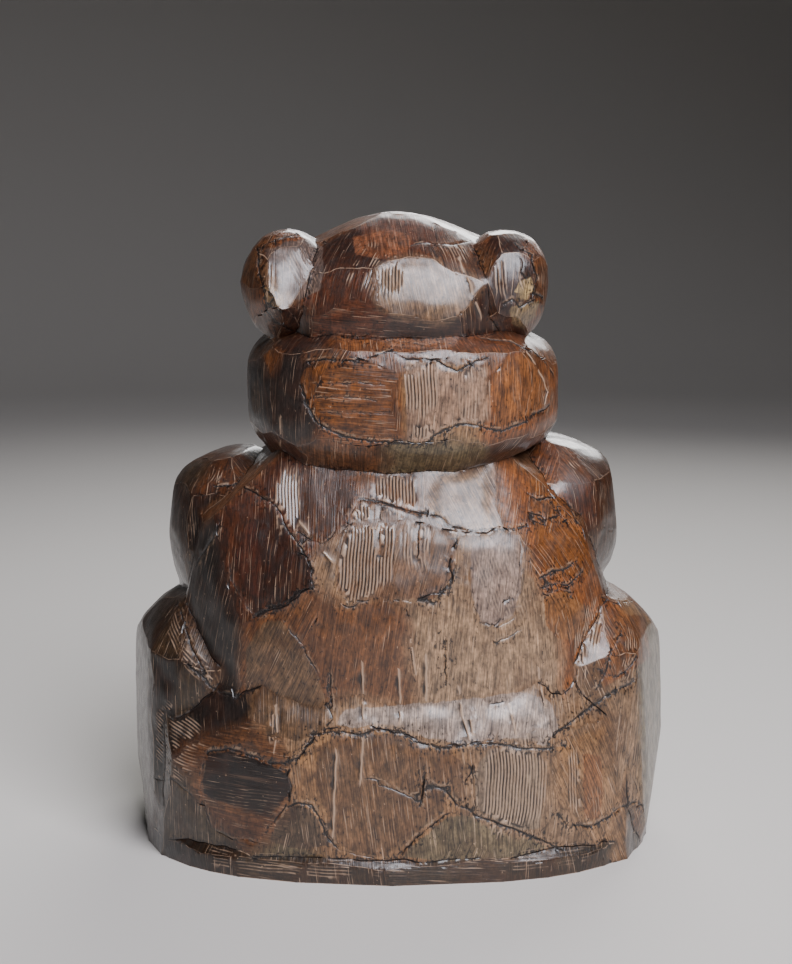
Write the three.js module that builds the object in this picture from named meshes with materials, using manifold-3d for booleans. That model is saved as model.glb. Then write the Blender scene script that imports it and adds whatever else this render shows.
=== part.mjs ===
// A seated bear, cast in resin as one hollow piece from a block-carved model.
// It faces +Y, so that the carved back, with the ears, the neck roll, the arms and the
// haunches, is seen from -Y. The origin is on the ground under the middle of the body.
// Every rounded mass of the body is hewn: it is the space inside a set of flat knife cuts,
// each of which just touches a smooth block, so that the whole bear shows broad flat facets.
import * as THREE from 'three';
import { ConvexHull } from 'three/addons/math/ConvexHull.js';
import { ConvexGeometry } from 'three/addons/geometries/ConvexGeometry.js';
import { mergeVertices } from 'three/addons/utils/BufferGeometryUtils.js';
import Module from 'manifold-3d';

const wasm = await Module();
wasm.setup();

// Driving dimensions, in millimetres.
const HEIGHT = 300; // ground to the crown of the head

// The bear's pose and carving are shares of its height: one unit is 1/300 of it.
const UNIT = HEIGHT / 300;
const FRONT = 0; // azimuths, clockwise from above, in degrees
const BACK = 180;
const SNUG = 0.985; // cuts go just inside the smooth block, so that their corners stay near it

// A repeatable number from 0 to 1 for each pair of whole numbers, for the uneven hand.
function chance(a, b) {
  const s = Math.sin(a * 12.9898 + b * 78.233) * 43758.5453;
  return s - Math.floor(s);
}

function direction(azimuth, elevation) {
  const a = THREE.MathUtils.degToRad(azimuth);
  const e = THREE.MathUtils.degToRad(elevation);
  return new THREE.Vector3(Math.sin(a) * Math.cos(e), Math.cos(a) * Math.cos(e), Math.sin(e));
}

// A smooth block. Its plan is |x/rx|^p + |y/ry|^p = 1, and it closes above and below with
// the power q in the same way: 2 is round, and a higher power is boxier.
class Block {
  constructor(centre, radii, planPower, uprightPower = planPower) {
    this.centre = centre;
    this.radii = radii;
    this.p = planPower;
    this.q = uprightPower;
  }

  // How far the block reaches along a unit normal.
  reach(normal) {
    const [x, y, z] = normal.toArray().map((n, axis) => Math.abs(n * this.radii[axis]));
    const [p, q] = [this.p, this.q].map((power) => power / (power - 1));
    const plan = (x ** p + y ** p) ** (1 / p);
    return (plan ** q + z ** q) ** (1 / q);
  }

  // The normal of the block's back at a place (x, z), as seen from behind.
  backNormal(x, z) {
    const u = (x - this.centre[0]) / this.radii[0];
    const w = (z - this.centre[2]) / this.radii[2];
    const plan = Math.max(1 - Math.abs(w) ** this.q, 0.01) ** (this.p / this.q);
    const v = -(Math.max(plan - Math.abs(u) ** this.p, 0.01) ** (1 / this.p));
    const slope = (share, power) => Math.sign(share) * Math.abs(share) ** (power - 1);
    const spread = plan ** (this.q / this.p - 1);
    return new THREE.Vector3(
      (spread * slope(u, this.p)) / this.radii[0],
      (spread * slope(v, this.p)) / this.radii[1],
      slope(w, this.q) / this.radii[2],
    ).normalize();
  }
}

// A cut is a unit normal and how much deeper than the smooth block it goes.
const cut = (normal, deeper = 0) => ({ normal, deeper });

// Cuts in rings: each ring is [elevation of its cuts, how many go round]. Only the cuts that
// face within half of `sector` degrees of the front are kept.
function ringCuts(rings, seed, sector = 360) {
  const cuts = [];
  rings.forEach(([elevation, count], ring) => {
    for (let i = 0; i < count; i += 1) {
      const step = 360 / count;
      const azimuth = (i + (ring % 2) / 2 + (chance(seed + ring, i) - 0.5) * 0.35) * step;
      const fromFront = Math.abs(THREE.MathUtils.euclideanModulo(azimuth + 180, 360) - 180);
      if (fromFront > sector / 2) continue;
      cuts.push(cut(direction(azimuth, elevation + (chance(i, seed + ring) - 0.5) * 6)));
    }
  });
  return cuts;
}

// Cuts on the back, each by the place (x, z) that it touches.
const backCuts = (block, places) =>
  places.map(([x, z, deeper]) => cut(block.backNormal(x, z), deeper));

// A row of cuts on the back at one elevation, each by its place x.
const backRow = (block, elevation, places) => places.map(([x, lean = 0, deeper]) => {
  const level = block.backNormal(x, block.centre[2]);
  const azimuth = THREE.MathUtils.radToDeg(Math.atan2(level.x, level.y));
  return cut(direction(azimuth, elevation + lean), deeper);
});

// The closed solid inside all the cuts. Its corners come from the hull of the cuts' dual
// points, one corner to each face of that hull.
function hew(block, cuts) {
  const dual = cuts.map(({ normal, deeper = 0 }) =>
    normal.clone().divideScalar(block.reach(normal) * SNUG - deeper));
  const corners = new Map();
  for (const face of new ConvexHull().setFromPoints(dual).faces) {
    const corner = face.normal.clone().divideScalar(face.constant);
    corners.set(corner.toArray().map((v) => v.toFixed(2)).join(), corner);
  }
  return new ConvexGeometry([...corners.values()])
    .translate(...block.centre)
    .scale(UNIT, UNIT, UNIT);
}

function toSolid(geometry) {
  const bare = geometry.clone();
  bare.deleteAttribute('normal');
  bare.deleteAttribute('uv');
  const closed = mergeVertices(bare, 1e-4);
  return new wasm.Manifold(new wasm.Mesh({
    numProp: 3,
    vertProperties: new Float32Array(closed.attributes.position.array),
    triVerts: new Uint32Array(closed.index.array),
  }));
}

function toGeometry(solid) {
  const mesh = solid.getMesh();
  const geometry = new THREE.BufferGeometry();
  geometry.setAttribute('position', new THREE.BufferAttribute(mesh.vertProperties, 3));
  geometry.setIndex(new THREE.BufferAttribute(mesh.triVerts, 1));
  return geometry;
}

// The back, from the shoulders down to the waist.
function torso() {
  const block = new Block([0, 2, 96], [100, 74, 104], 2.6);
  return hew(block, [
    ...ringCuts([[-50, 8], [-15, 12], [15, 12], [45, 9], [75, 4]], 1, 230),
    ...backCuts(block, [
      [-42, 166], [-8, 176], [27, 175], [62, 168],
      [-60, 140], [-4, 146], [42, 138], [76, 142],
      [-84, 112], [-52, 100], [-16, 102], [24, 106], [60, 108], [86, 110],
      [0, 60], [-50, 60], [50, 60],
    ]),
  ]);
}

// The seat: a broad bevel at the waist and two rows of upright facets.
function hips() {
  const block = new Block([0, 8, 30], [121, 88, 60], 2.3, 6);
  return hew(block, [
    ...ringCuts([[-20, 12], [0, 12], [30, 10], [70, 4]], 2, 220),
    ...backRow(block, 19, [[-84, 4], [-38, 0, 1.6], [8, -2, 2.2], [46, 1, 0.6], [88, 4]]),
    ...backRow(block, 4, [[-66], [-10, 0, 2.5], [50, -1], [90]]),
    ...backRow(block, -9, [[-86, 0, 1], [-42, -1, 1], [26, -1, 1], [72, 1, 1]]),
    cut(direction(FRONT, 0), 16),
    cut(direction(30, 4), 14),
    cut(direction(-30, 4), 14),
  ]);
}

// The low base that the seat and the feet grow out of.
function base() {
  const block = new Block([0, 16, 0], [124, 98, 18], 2.55, 5);
  return hew(block, ringCuts([[-60, 4], [-2, 34], [52, 20], [80, 3]], 21));
}

// One haunch, with the thigh that runs forward from it.
function haunch(side) {
  const block = new Block([side * 88, 22, 54], [35, 72, 67], 2.6, 4);
  return hew(block, [
    ...ringCuts([[-20, 8], [0, 12], [36, 10]], 30 + side),
    cut(direction(side * 84, 72), 1),
    cut(direction(side * 30, 56), 17),
    cut(direction(side * 10, 38), 24),
    cut(direction(-side * 40, 48), 16),
    cut(direction(side * 82, 44), 3),
  ]);
}

// One foot, sole forward.
function foot(side) {
  const block = new Block([side * 62, 88, 28], [31, 24, 31], 2.6, 3);
  return hew(block, [
    ...ringCuts([[-30, 6], [10, 9], [45, 7], [75, 3]], 40 + side),
    cut(direction(side * 8, 6), 3),
  ]);
}

// Offsets of things that stand side by side, evenly round zero.
const sideBySide = (count, pitch) =>
  Array.from({ length: count }, (_, i) => (i - (count - 1) / 2) * pitch);

// Four toes stand in an arc along the top of the sole.
const toes = (side) => sideBySide(4, 13.6).map((x, i) => {
  const block = new Block([side * 62 + x, 100, 57 - (x / 12) ** 2 * 3], [8, 13, 10], 2.3);
  return hew(block, ringCuts([[-35, 4], [8, 7], [52, 5]], 110 + side * 4 + i));
});

// The thick roll round the neck.
function neck() {
  const block = new Block([2.5, -2, 217], [71, 59, 31], 2.6, 4.5);
  return hew(block, [
    ...ringCuts([[-75, 4], [-38, 12], [0, 13], [38, 12], [75, 4]], 5, 220),
    ...backRow(block, 64, [[-50], [-4, 4], [48]]),
    ...backRow(block, 15, [[-60, 0, -1], [-34, 0, -1], [6, 3, -1], [42, -2, -1], [66, 0, -1]]),
    ...backRow(block, 0, [[-64], [-46, 2], [-18], [22, 1], [52], [68]]),
    ...backRow(block, -42, [[-60], [-24], [18], [58]]),
  ]);
}

// The skull, from crown to neck roll.
function head() {
  const block = new Block([1, 9, 256], [59, 60, 43], 2.5, 2.1);
  return hew(block, [
    ...ringCuts([[-45, 8], [-10, 10], [20, 10], [50, 8]], 7, 250),
    cut(direction(10, 84)),
    cut(direction(90, 68), 2),
    cut(direction(-94, 66), 2),
    ...backCuts(block, [
      [4, 290], [30, 284], [-24, 283], [-27, 266], [15, 267], [-22, 249], [12, 244], [42, 250],
    ]),
  ]);
}

function muzzle() {
  const block = new Block([0, 63, 240], [28, 32, 20], 2.5, 2.4);
  return hew(block, ringCuts([[-55, 5], [-18, 9], [15, 9], [48, 7], [82, 2]], 52));
}

// The lower jaw is set back under the muzzle, so that the mouth is the crease between them.
function jaw() {
  const block = new Block([0, 60, 228], [20, 26, 13], 2.5, 2.4);
  return hew(block, ringCuts([[-50, 5], [-10, 8], [40, 6]], 57));
}

// The nose pad, broad above and narrow below.
function nose() {
  const block = new Block([0, 90, 251], [13, 9, 8], 2.8, 2.4);
  return hew(block, [
    cut(direction(FRONT, 2)), cut(direction(62, 4)), cut(direction(-62, 4)),
    cut(direction(FRONT, 58)), cut(direction(50, 52)), cut(direction(-50, 52)),
    cut(direction(30, -44), 1), cut(direction(-30, -44), 1), cut(direction(BACK, 80)),
    cut(direction(120, 0)), cut(direction(-120, 0)), cut(direction(BACK, -60)),
  ]);
}

// Cuts in a fan round the Y axis, each leaning back by so many degrees.
function fanCuts(fans, seed) {
  const cuts = [];
  fans.forEach(([lean, count], fan) => {
    for (let i = 0; i < count; i += 1) {
      const turn = ((i + (chance(seed + fan, i) - 0.5) * 0.4) * 360) / count;
      const around = direction(BACK / 2, turn);
      cuts.push(cut(around.applyAxisAngle(
        new THREE.Vector3(-around.z, 0, around.x), THREE.MathUtils.degToRad(-lean))));
    }
  });
  return cuts;
}

// An ear, hollowed in front. The back of the left one, at -X, leans more.
function ear(side) {
  const block = new Block([side * 51, -12, 267], [18.5, 29, 25], 2.6);
  const hollow = new Block([side * 55, 18, 270], [11, 12, 15], 2.3);
  const whole = toSolid(hew(block, [
    ...fanCuts([[0, 11], [34, 9], [-38, 7]], 60 + side),
    cut(direction(BACK - 14, side < 0 ? 26 : 8), 1),
    cut(direction(FRONT + side * 10, 0)),
  ]));
  return whole.subtract(toSolid(hew(hollow, [
    ...fanCuts([[0, 7], [40, 5]], 70), cut(direction(BACK, 0)), cut(direction(FRONT, 0)),
  ])));
}

// The eyes are small cut balls in shallow sockets.
function eye(side) {
  const block = new Block([side * 25, 61, 266], [6, 6, 6], 2);
  return hew(block, ringCuts([[-50, 4], [-15, 8], [15, 8], [50, 4]], 80));
}

function eyeSocket(side) {
  const block = new Block([side * 25, 67, 266], [10, 7, 8], 2.2);
  return hew(block, [
    ...fanCuts([[0, 6], [35, 5]], 75), cut(direction(BACK, 0)), cut(direction(FRONT, 0)),
  ]);
}

// The upper arm hangs against the body. The left one, at -X, hangs a little lower.
function upperArm(side) {
  const block = new Block([side * 76.5 - 1.5, 10, 151 + side * 4], [28.5, 40, 39 - side], 2.4);
  return hew(block, [
    ...ringCuts([[-50, 6], [-15, 8], [8, 9], [46, 8]], 12 + side),
    cut(direction(side * 90, 76), 1),
  ]);
}

// The forearm runs forward and in over the thigh, to the paw.
function forearm(side) {
  const [elbow, wrist] = [[side * 82, 14, 138], [side * 45, 80, 110]].map(
    (place) => new THREE.Vector3(...place));
  const along = wrist.clone().sub(elbow);
  const block = new Block([0, 0, 0], [23, along.length() * 0.5 + 18, 22], 2.6);
  const turn = new THREE.Quaternion().setFromUnitVectors(
    new THREE.Vector3(0, 1, 0), along.clone().normalize());
  return hew(block, ringCuts([[-60, 3], [-20, 7], [20, 7], [60, 3]], 100 + side))
    .applyQuaternion(turn)
    .translate(...elbow.add(wrist).multiplyScalar(0.5 * UNIT));
}

// A paw with four fingers that hang over its front edge.
function paw(side) {
  const block = new Block([side * 39, 86, 107], [21, 16, 17], 2.6);
  return hew(block, ringCuts([[-50, 4], [-12, 8], [25, 8], [60, 4]], 90 + side));
}

const fingers = (side) => sideBySide(4, 9.5).map((x, i) => {
  const block = new Block([side * 39 + x, 96, 95 + (x / 10) ** 2 * 1.5], [6, 9, 11], 2.3);
  return hew(block, ringCuts([[-50, 4], [0, 6], [45, 4]], 120 + side * 4 + i));
});

const sides = [-1, 1];
const masses = [
  torso(), hips(), base(), neck(), head(), muzzle(), jaw(),
  ...sides.flatMap((side) => [
    haunch(side), foot(side), ...toes(side),
    upperArm(side), forearm(side), paw(side), ...fingers(side),
  ]),
].map(toSolid);
const sockets = sides.map(eyeSocket).map(toSolid);
const features = [nose(), ...sides.map(eye)].map(toSolid);

const join = (sum, solid) => sum.add(solid);
const whole = [...masses, ...sides.map(ear)].reduce(join);
const socketed = sockets.reduce((rest, socket) => rest.subtract(socket), whole);
const carved = features.reduce(join, socketed);

// The bear stands on a flat underside: everything below the ground is cut away.
const ROOM = 2 * HEIGHT;
const aboveGround = toSolid(
  new THREE.BoxGeometry(ROOM, ROOM, ROOM).translate(0, 0, ROOM / 2));
const body = carved.intersect(aboveGround);

const group = new THREE.Group();
const resin = new THREE.MeshStandardMaterial({ color: 0x8a5a36, roughness: 0.42, metalness: 0 });
const bear = new THREE.Mesh(toGeometry(body), resin);
bear.name = 'bear';
group.add(bear);

export default group;
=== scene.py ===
# %% [markdown]
# # A carved bear cast in resin
# The real bear was modelled in facets with a knife and a toothed comb, moulded, and cast in
# resin. The cast was stained like dark wood and sealed with a satin lacquer. The solid gives
# every facet. This scene adds what the knife, the comb and the stain left on them.

# %% Load the solid
import math

import bmesh
import bpy
import numpy as np
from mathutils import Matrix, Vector, bvhtree, geometry, kdtree, noise


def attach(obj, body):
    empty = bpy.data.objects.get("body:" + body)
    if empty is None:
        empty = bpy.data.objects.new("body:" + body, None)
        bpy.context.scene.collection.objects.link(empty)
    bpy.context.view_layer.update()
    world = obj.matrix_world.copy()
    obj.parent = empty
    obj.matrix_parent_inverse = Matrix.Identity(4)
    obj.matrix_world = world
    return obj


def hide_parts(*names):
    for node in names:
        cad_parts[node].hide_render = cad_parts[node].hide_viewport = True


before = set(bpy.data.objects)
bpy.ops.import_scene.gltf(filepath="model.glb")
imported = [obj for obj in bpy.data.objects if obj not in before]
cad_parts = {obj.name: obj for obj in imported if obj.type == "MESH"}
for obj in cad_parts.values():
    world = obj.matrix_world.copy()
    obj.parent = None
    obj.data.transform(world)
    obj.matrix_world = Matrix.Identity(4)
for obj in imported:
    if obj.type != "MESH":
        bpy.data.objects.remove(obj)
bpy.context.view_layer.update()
scene = bpy.context.scene
MM = 0.001  # the scene is in metres, and the marks are measured in millimetres

# %% [markdown]
# ## The camera
# The photograph looks slightly down at the bear's back from about a metre. The lens is worked
# out from how large the bear stands in the picture: a 300 mm bear that is 640 pixels tall.

# %% Camera
PICTURE_WIDTH, PICTURE_HEIGHT = 792, 964  # pixels
PIXELS_PER_SLOPE = 2118.7  # how far a sight line of slope 1 lands from the middle
SENSOR = 36.0  # millimetres along the long side

camera = bpy.data.objects.new("camera", bpy.data.cameras.new("camera"))
scene.collection.objects.link(camera)
camera.data.sensor_width = SENSOR
camera.data.lens = PIXELS_PER_SLOPE / PICTURE_HEIGHT * SENSOR
camera.location = (0.0, -1.0, 0.33)
aim = Vector((0.0, 0.0, 0.1718))
camera.rotation_euler = (aim - camera.location).to_track_quat("-Z", "Y").to_euler()
scene.camera = camera
print("lens", round(camera.data.lens, 1), "mm")


# %% [markdown]
# ## One helper for colours and one for nodes
# Colours are written as the hex values that a painter would pick on a screen, and one function
# turns them to the linear values that the shader needs.

# %% Helpers
def linear(hex_colour):
    """Red, green, blue and alpha as the shader needs them."""
    channels = [int(hex_colour[i : i + 2], 16) / 255 for i in (1, 3, 5)]
    return tuple(c / 12.92 if c <= 0.04045 else ((c + 0.055) / 1.055) ** 2.4 for c in channels) + (1.0,)


def node(tree, kind, settings=None, out=0, **inputs):
    """Adds a node and returns its output. settings are its own values; inputs are its sockets."""
    made = tree.nodes.new(kind)
    for name, value in (settings or {}).items():
        setattr(made, name, value)
    for name, value in inputs.items():
        key = int(name[1:]) if name[0] == "_" else name.replace("_", " ")
        if isinstance(value, bpy.types.NodeSocket):
            tree.links.new(value, made.inputs[key])
        else:
            made.inputs[key].default_value = value
    return made.outputs[out] if made.outputs else None


def fresh_material(name):
    material = bpy.data.materials.new(name)
    material.use_nodes = True
    material.node_tree.nodes.clear()
    return material, material.node_tree


# %% [markdown]
# ## A pale sweep to stand on
# A photographer's paper sweep is a floor that curves up behind the subject, so that no horizon
# shows. A lathe of that curve works from every side. It is plain matt paper.

# %% Floor
def make_sweep():
    inner, rise, lip = 1.9, 1.1, 2.6  # metres: flat floor radius, curve radius, wall height
    turns, curve_steps = 64, 12
    profile = [(0.0, 0.0), (inner, 0.0)]
    for step in range(1, curve_steps + 1):
        angle = math.radians(90 * step / curve_steps)
        profile.append((inner + rise * math.sin(angle), rise - rise * math.cos(angle)))
    profile.append((inner + rise, lip))
    points = [(0.0, 0.0, 0.0)]
    for r, z in profile[1:]:
        points += [
            (r * math.cos(2 * math.pi * t / turns), r * math.sin(2 * math.pi * t / turns), z)
            for t in range(turns)
        ]
    faces = [(0, 1 + t, 1 + (t + 1) % turns) for t in range(turns)]
    for row in range(len(profile) - 2):
        low, high = 1 + row * turns, 1 + (row + 1) * turns
        faces += [
            (low + t, high + t, high + (t + 1) % turns, low + (t + 1) % turns) for t in range(turns)
        ]
    mesh = bpy.data.meshes.new("sweep")
    mesh.from_pydata(points, [], faces)
    mesh.shade_smooth()
    sweep = bpy.data.objects.new("sweep", mesh)
    scene.collection.objects.link(sweep)
    material, tree = fresh_material("matt sweep paper")
    paper = node(
        tree, "ShaderNodeBsdfPrincipled",
        Base_Color=linear("#cfcbc5"), Roughness=0.85, Specular_IOR_Level=0.2,
    )
    node(tree, "ShaderNodeOutputMaterial", Surface=paper)
    mesh.materials.append(material)


make_sweep()


# %% [markdown]
# ## Soft studio light
# One tall softbox stands at the right behind the camera and gives the glare on the facets that
# turn that way. Its light spreads little, so the left side and the room stay dim, as in the
# photograph. A weaker one lights the bear's front.

# %% Lights
def softbox(name, azimuth, elevation, distance, size, watts, spread, colour):
    """Azimuth 0 is behind the camera's back and grows to the right. Angles are in degrees."""
    a, e = math.radians(azimuth), math.radians(elevation)
    light = bpy.data.lights.new(name, "AREA")
    light.shape = "RECTANGLE"
    light.size, light.size_y = size
    light.energy = watts
    light.spread = math.radians(spread)
    light.color = linear(colour)[:3]
    lamp = bpy.data.objects.new(name, light)
    heading = Vector((math.sin(a) * math.cos(e), -math.cos(a) * math.cos(e), math.sin(e)))
    target = Vector((0.0, 0.0, 0.15))  # the middle of the bear
    lamp.location = target + heading * distance
    lamp.rotation_euler = (target - lamp.location).to_track_quat("-Z", "Y").to_euler()
    scene.collection.objects.link(lamp)


softbox("key softbox", 24, 42, 1.5, (0.9, 1.2), 11.5, 80, "#f6f6ff")
softbox("front fill", 165, 30, 1.8, (1.2, 1.0), 6, 80, "#ffffff")
world = bpy.data.worlds.new("studio room")
world.use_nodes = True
room = world.node_tree.nodes["Background"].inputs
room["Color"].default_value = linear("#dfe3ea")
room["Strength"].default_value = 0.045
scene.world = world
print(len(bpy.data.lights), "softboxes and a dim room")

# %% [markdown]
# ## Read the facets of the solid
# The solid is triangles, so triangles that lie in one plane are gathered into facets. Every
# facet was one stroke of the knife, and the marks are added stroke by stroke.

# %% Read the solid
WELD = 5e-6  # metres: corners nearer than this are one
ZERO = 1e-9  # nothing is divided by less than this


def unit(ways):
    """The same direction with length 1, for one direction or for rows of them."""
    if ways.ndim == 1:
        return ways / max(np.linalg.norm(ways), ZERO)
    return ways / np.maximum(np.linalg.norm(ways, axis=1), ZERO)[:, None]


def read_solid():
    """Corners in millimetres, triangles, and their normals and areas."""
    bm = bmesh.new()
    bm.from_mesh(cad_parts["bear"].data)
    bmesh.ops.remove_doubles(bm, verts=bm.verts, dist=WELD)
    bmesh.ops.triangulate(bm, faces=bm.faces)
    bm.verts.index_update()
    corners = np.array([v.co for v in bm.verts]) / MM
    triangles = np.array([[v.index for v in f.verts] for f in bm.faces])
    bm.free()
    a, b, c = (corners[triangles[:, i]] for i in range(3))
    cross = np.cross(b - a, c - a)
    return corners, triangles, unit(cross), np.linalg.norm(cross, axis=1) / 2


corners, triangles, normals, areas = read_solid()
print(len(corners), "corners and", len(triangles), "triangles")

# %% [markdown]
# ## Gather triangles into facets
# Neighbours that face the same way are led to one leader, which is the quickest way to join sets.
# A tiny triangle has no reliable direction, so it goes with the neighbour at its longest side.

# %% Facets
SAME_PLANE = math.cos(math.radians(0.7))
TINY_AREA = 0.01  # square millimetres: too small to have a reliable direction


def gather_facets(triangles, normals, areas):
    """The facet of each triangle, and the triangles on both sides of each edge."""
    sides = {}
    for t, triangle in enumerate(triangles):
        for i in range(3):
            sides.setdefault(frozenset((triangle[i], triangle[(i + 1) % 3])), []).append(t)
    leader = list(range(len(triangles)))

    def find(t):
        while leader[t] != t:
            leader[t] = leader[leader[t]]
            t = leader[t]
        return t

    best = {}
    for edge, pair in sides.items():
        if len(pair) != 2:
            continue
        t, u = pair
        if min(areas[t], areas[u]) > TINY_AREA:
            if normals[t] @ normals[u] > SAME_PLANE:
                leader[find(t)] = find(u)
            continue
        i, j = tuple(edge)
        length = np.linalg.norm(corners[i] - corners[j])
        for tiny, other in ((t, u), (u, t)):
            if areas[tiny] <= TINY_AREA and length > best.get(tiny, (0, 0))[0]:
                best[tiny] = (length, other)
    for tiny, (_, other) in best.items():
        leader[find(tiny)] = find(other)
    roots = [find(t) for t in range(len(triangles))]
    order = {root: i for i, root in enumerate(sorted(set(roots)))}
    return np.array([order[root] for root in roots]), sides


facet_of, triangle_sides = gather_facets(triangles, normals, areas)
facet_count = facet_of.max() + 1
facet_area = np.bincount(facet_of, areas)
facet_normal = unit(np.array([np.bincount(facet_of, normals[:, i] * areas) for i in range(3)]).T)
triangle_centres = corners[triangles].mean(axis=1)
facet_centre = np.array([np.bincount(facet_of, triangle_centres[:, i] * areas) for i in range(3)]).T
facet_centre /= np.maximum(facet_area, ZERO)[:, None]
print("they make", facet_count, "facets")


# %% [markdown]
# ## Find a facet by its place
# Marks are placed as a carver would point at them: so far to the side, so far up, seen from
# behind. A straight line towards the bear finds the facet there.

# %% Pointing at the solid
surface = bvhtree.BVHTree.FromPolygons([Vector(c) for c in corners], triangles.tolist())
FAR_BEHIND = -400.0  # millimetres


def point_at(x, z):
    """The place and the facet that are seen at (x, z) from behind."""
    place, _, triangle, _ = surface.ray_cast(Vector((x, FAR_BEHIND, z)), Vector((0, 1, 0)))
    return np.array(place), facet_of[triangle]


eye_place = np.array(camera.location) / MM
eye_turn = np.array(camera.rotation_euler.to_matrix())  # its columns are right, up and backwards
print("the middle of the neck is at", np.round(point_at(0, 217)[0], 1))


def seen_at(pixel):
    """The place and the facet that the picture shows at a pixel, or None beside the bear."""
    slope_x = (pixel[0] - PICTURE_WIDTH / 2) / PIXELS_PER_SLOPE
    slope_y = (PICTURE_HEIGHT / 2 - pixel[1]) / PIXELS_PER_SLOPE
    way = eye_turn @ np.array((slope_x, slope_y, -1.0))
    place, _, triangle, _ = surface.ray_cast(Vector(eye_place), Vector(way))
    return None if place is None else (np.array(place), facet_of[triangle])


def pixels_of(places):
    """The pixels at which the camera sees the places."""
    rel = (places - eye_place) @ eye_turn
    scale = PIXELS_PER_SLOPE / -rel[:, 2]
    return np.stack((rel[:, 0] * scale + PICTURE_WIDTH / 2, PICTURE_HEIGHT / 2 - rel[:, 1] * scale), axis=1)


# %% [markdown]
# ## Borders between facets
# Two facets meet in a straight line on the solid. On the real bear that line wanders, because
# two strokes of a knife never meet evenly. Both facets have to share the same wandering line, or
# the skin would tear, so each border is walked once and used by both.

# %% Chains of border edges
def border_chains():
    """(facet on the left, facet on the right, first corner, last corner) of each border."""
    edges = {}
    at_corner = {}
    for t, triangle in enumerate(triangles):
        for i in range(3):
            a, b = triangle[i], triangle[(i + 1) % 3]
            pair = triangle_sides[frozenset((a, b))]
            other = pair[0] if pair[1] == t else pair[1]
            if facet_of[t] < facet_of[other]:
                edges[(a, b)] = (facet_of[t], facet_of[other])
                for end in (a, b):
                    at_corner.setdefault(end, []).append((a, b))
    forks = {c for c, met in at_corner.items() if len(met) != 2 or edges[met[0]] != edges[met[1]]}
    done = set()
    chains = []

    def walk(edge, forward):
        trail = [edge]
        done.add(edge)
        tip = edge[1] if forward else edge[0]
        while tip not in forks:
            onward = [e for e in at_corner[tip] if e not in done]
            if not onward:
                break
            edge = onward[0]
            done.add(edge)
            trail.append(edge)
            tip = edge[1] if edge[0] == tip else edge[0]
        return trail, tip

    for edge in edges:
        if edge in done:
            continue
        ahead, last = walk(edge, True)
        behind, first = walk(edge, False)
        chains.append((*edges[edge], first, last))
    return chains


chains = border_chains()
around = np.zeros(facet_count)
for left, right, first, last in chains:
    around[[left, right]] += np.linalg.norm(corners[first] - corners[last])
facet_inner = 2 * facet_area / np.maximum(around, ZERO)  # about how wide each facet is, in mm
print(len(chains), "borders")


# %% [markdown]
# ## How fine the skin is
# The photograph shows the back, so the back is meshed finely. The front is in keeping but
# plainer, and the underside is plain.

# %% Fineness
BACK_STEP, FRONT_STEP = 1.15, 2.4  # millimetres between points along a border
BACK_GRID, FRONT_GRID = 2.3, 4.2  # millimetres between points inside a facet
GROOVE_REACH = 0.55  # millimetres from a border to the first row of points beside it


def is_under(facet):
    faces_down = facet_normal[facet][2] < -0.95
    on_ground = facet_centre[facet][2] < 1.0
    return faces_down and on_ground


def is_back(facet):
    turned_back = facet_normal[facet][1] < 0.25
    behind_the_paws = facet_centre[facet][1] < 45
    return turned_back and behind_the_paws and not is_under(facet)


def smooth(x, low, high):
    """Goes softly from 0 at low to 1 at high."""
    t = np.clip((np.asarray(x, float) - low) / (high - low), 0, 1)
    return t * t * (3 - 2 * t)


def wander(place, size, seed):
    """A smooth random value from -1 to 1 that changes over so many millimetres."""
    return noise.noise(Vector(place) / size + Vector((seed * 17.3, seed * 5.1, -seed * 9.7)))


def waves(place, rows):
    """Several wanders on top of each other: how strong, over what length, and the seed of each."""
    return sum(strong * wander(place, size, seed) for strong, size, seed in rows)


print(sum(is_back(facet) for facet in range(facet_count)), "facets are on the back")


# %% [markdown]
# ## Cracks and burrs, read from the picture
# The clay dried and tore beside the knife strokes, and dark stain settled in the tears. In other
# places the knife pushed up a thin burr, which the rag wiped pale. Each is named here with the
# pixels that it passes in the picture. A sight line through each pixel puts it on the skin.

# %% What a crack is
class Crack:
    """Width and depth in millimetres, darkness from 0 to 1, and the pixels passed."""

    def __init__(self, width, depth, dark, *pixels):
        self.width, self.depth, self.dark, self.pixels = width, depth, dark, pixels


BURR_WIDTH = 1.1  # millimetres


def burr(height, *pixels):
    """A burr is a crack that stands up instead of going in, and takes no stain."""
    return Crack(BURR_WIDTH, -height, 0.0, *pixels)


print("a burr is", BURR_WIDTH, "mm wide")
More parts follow.
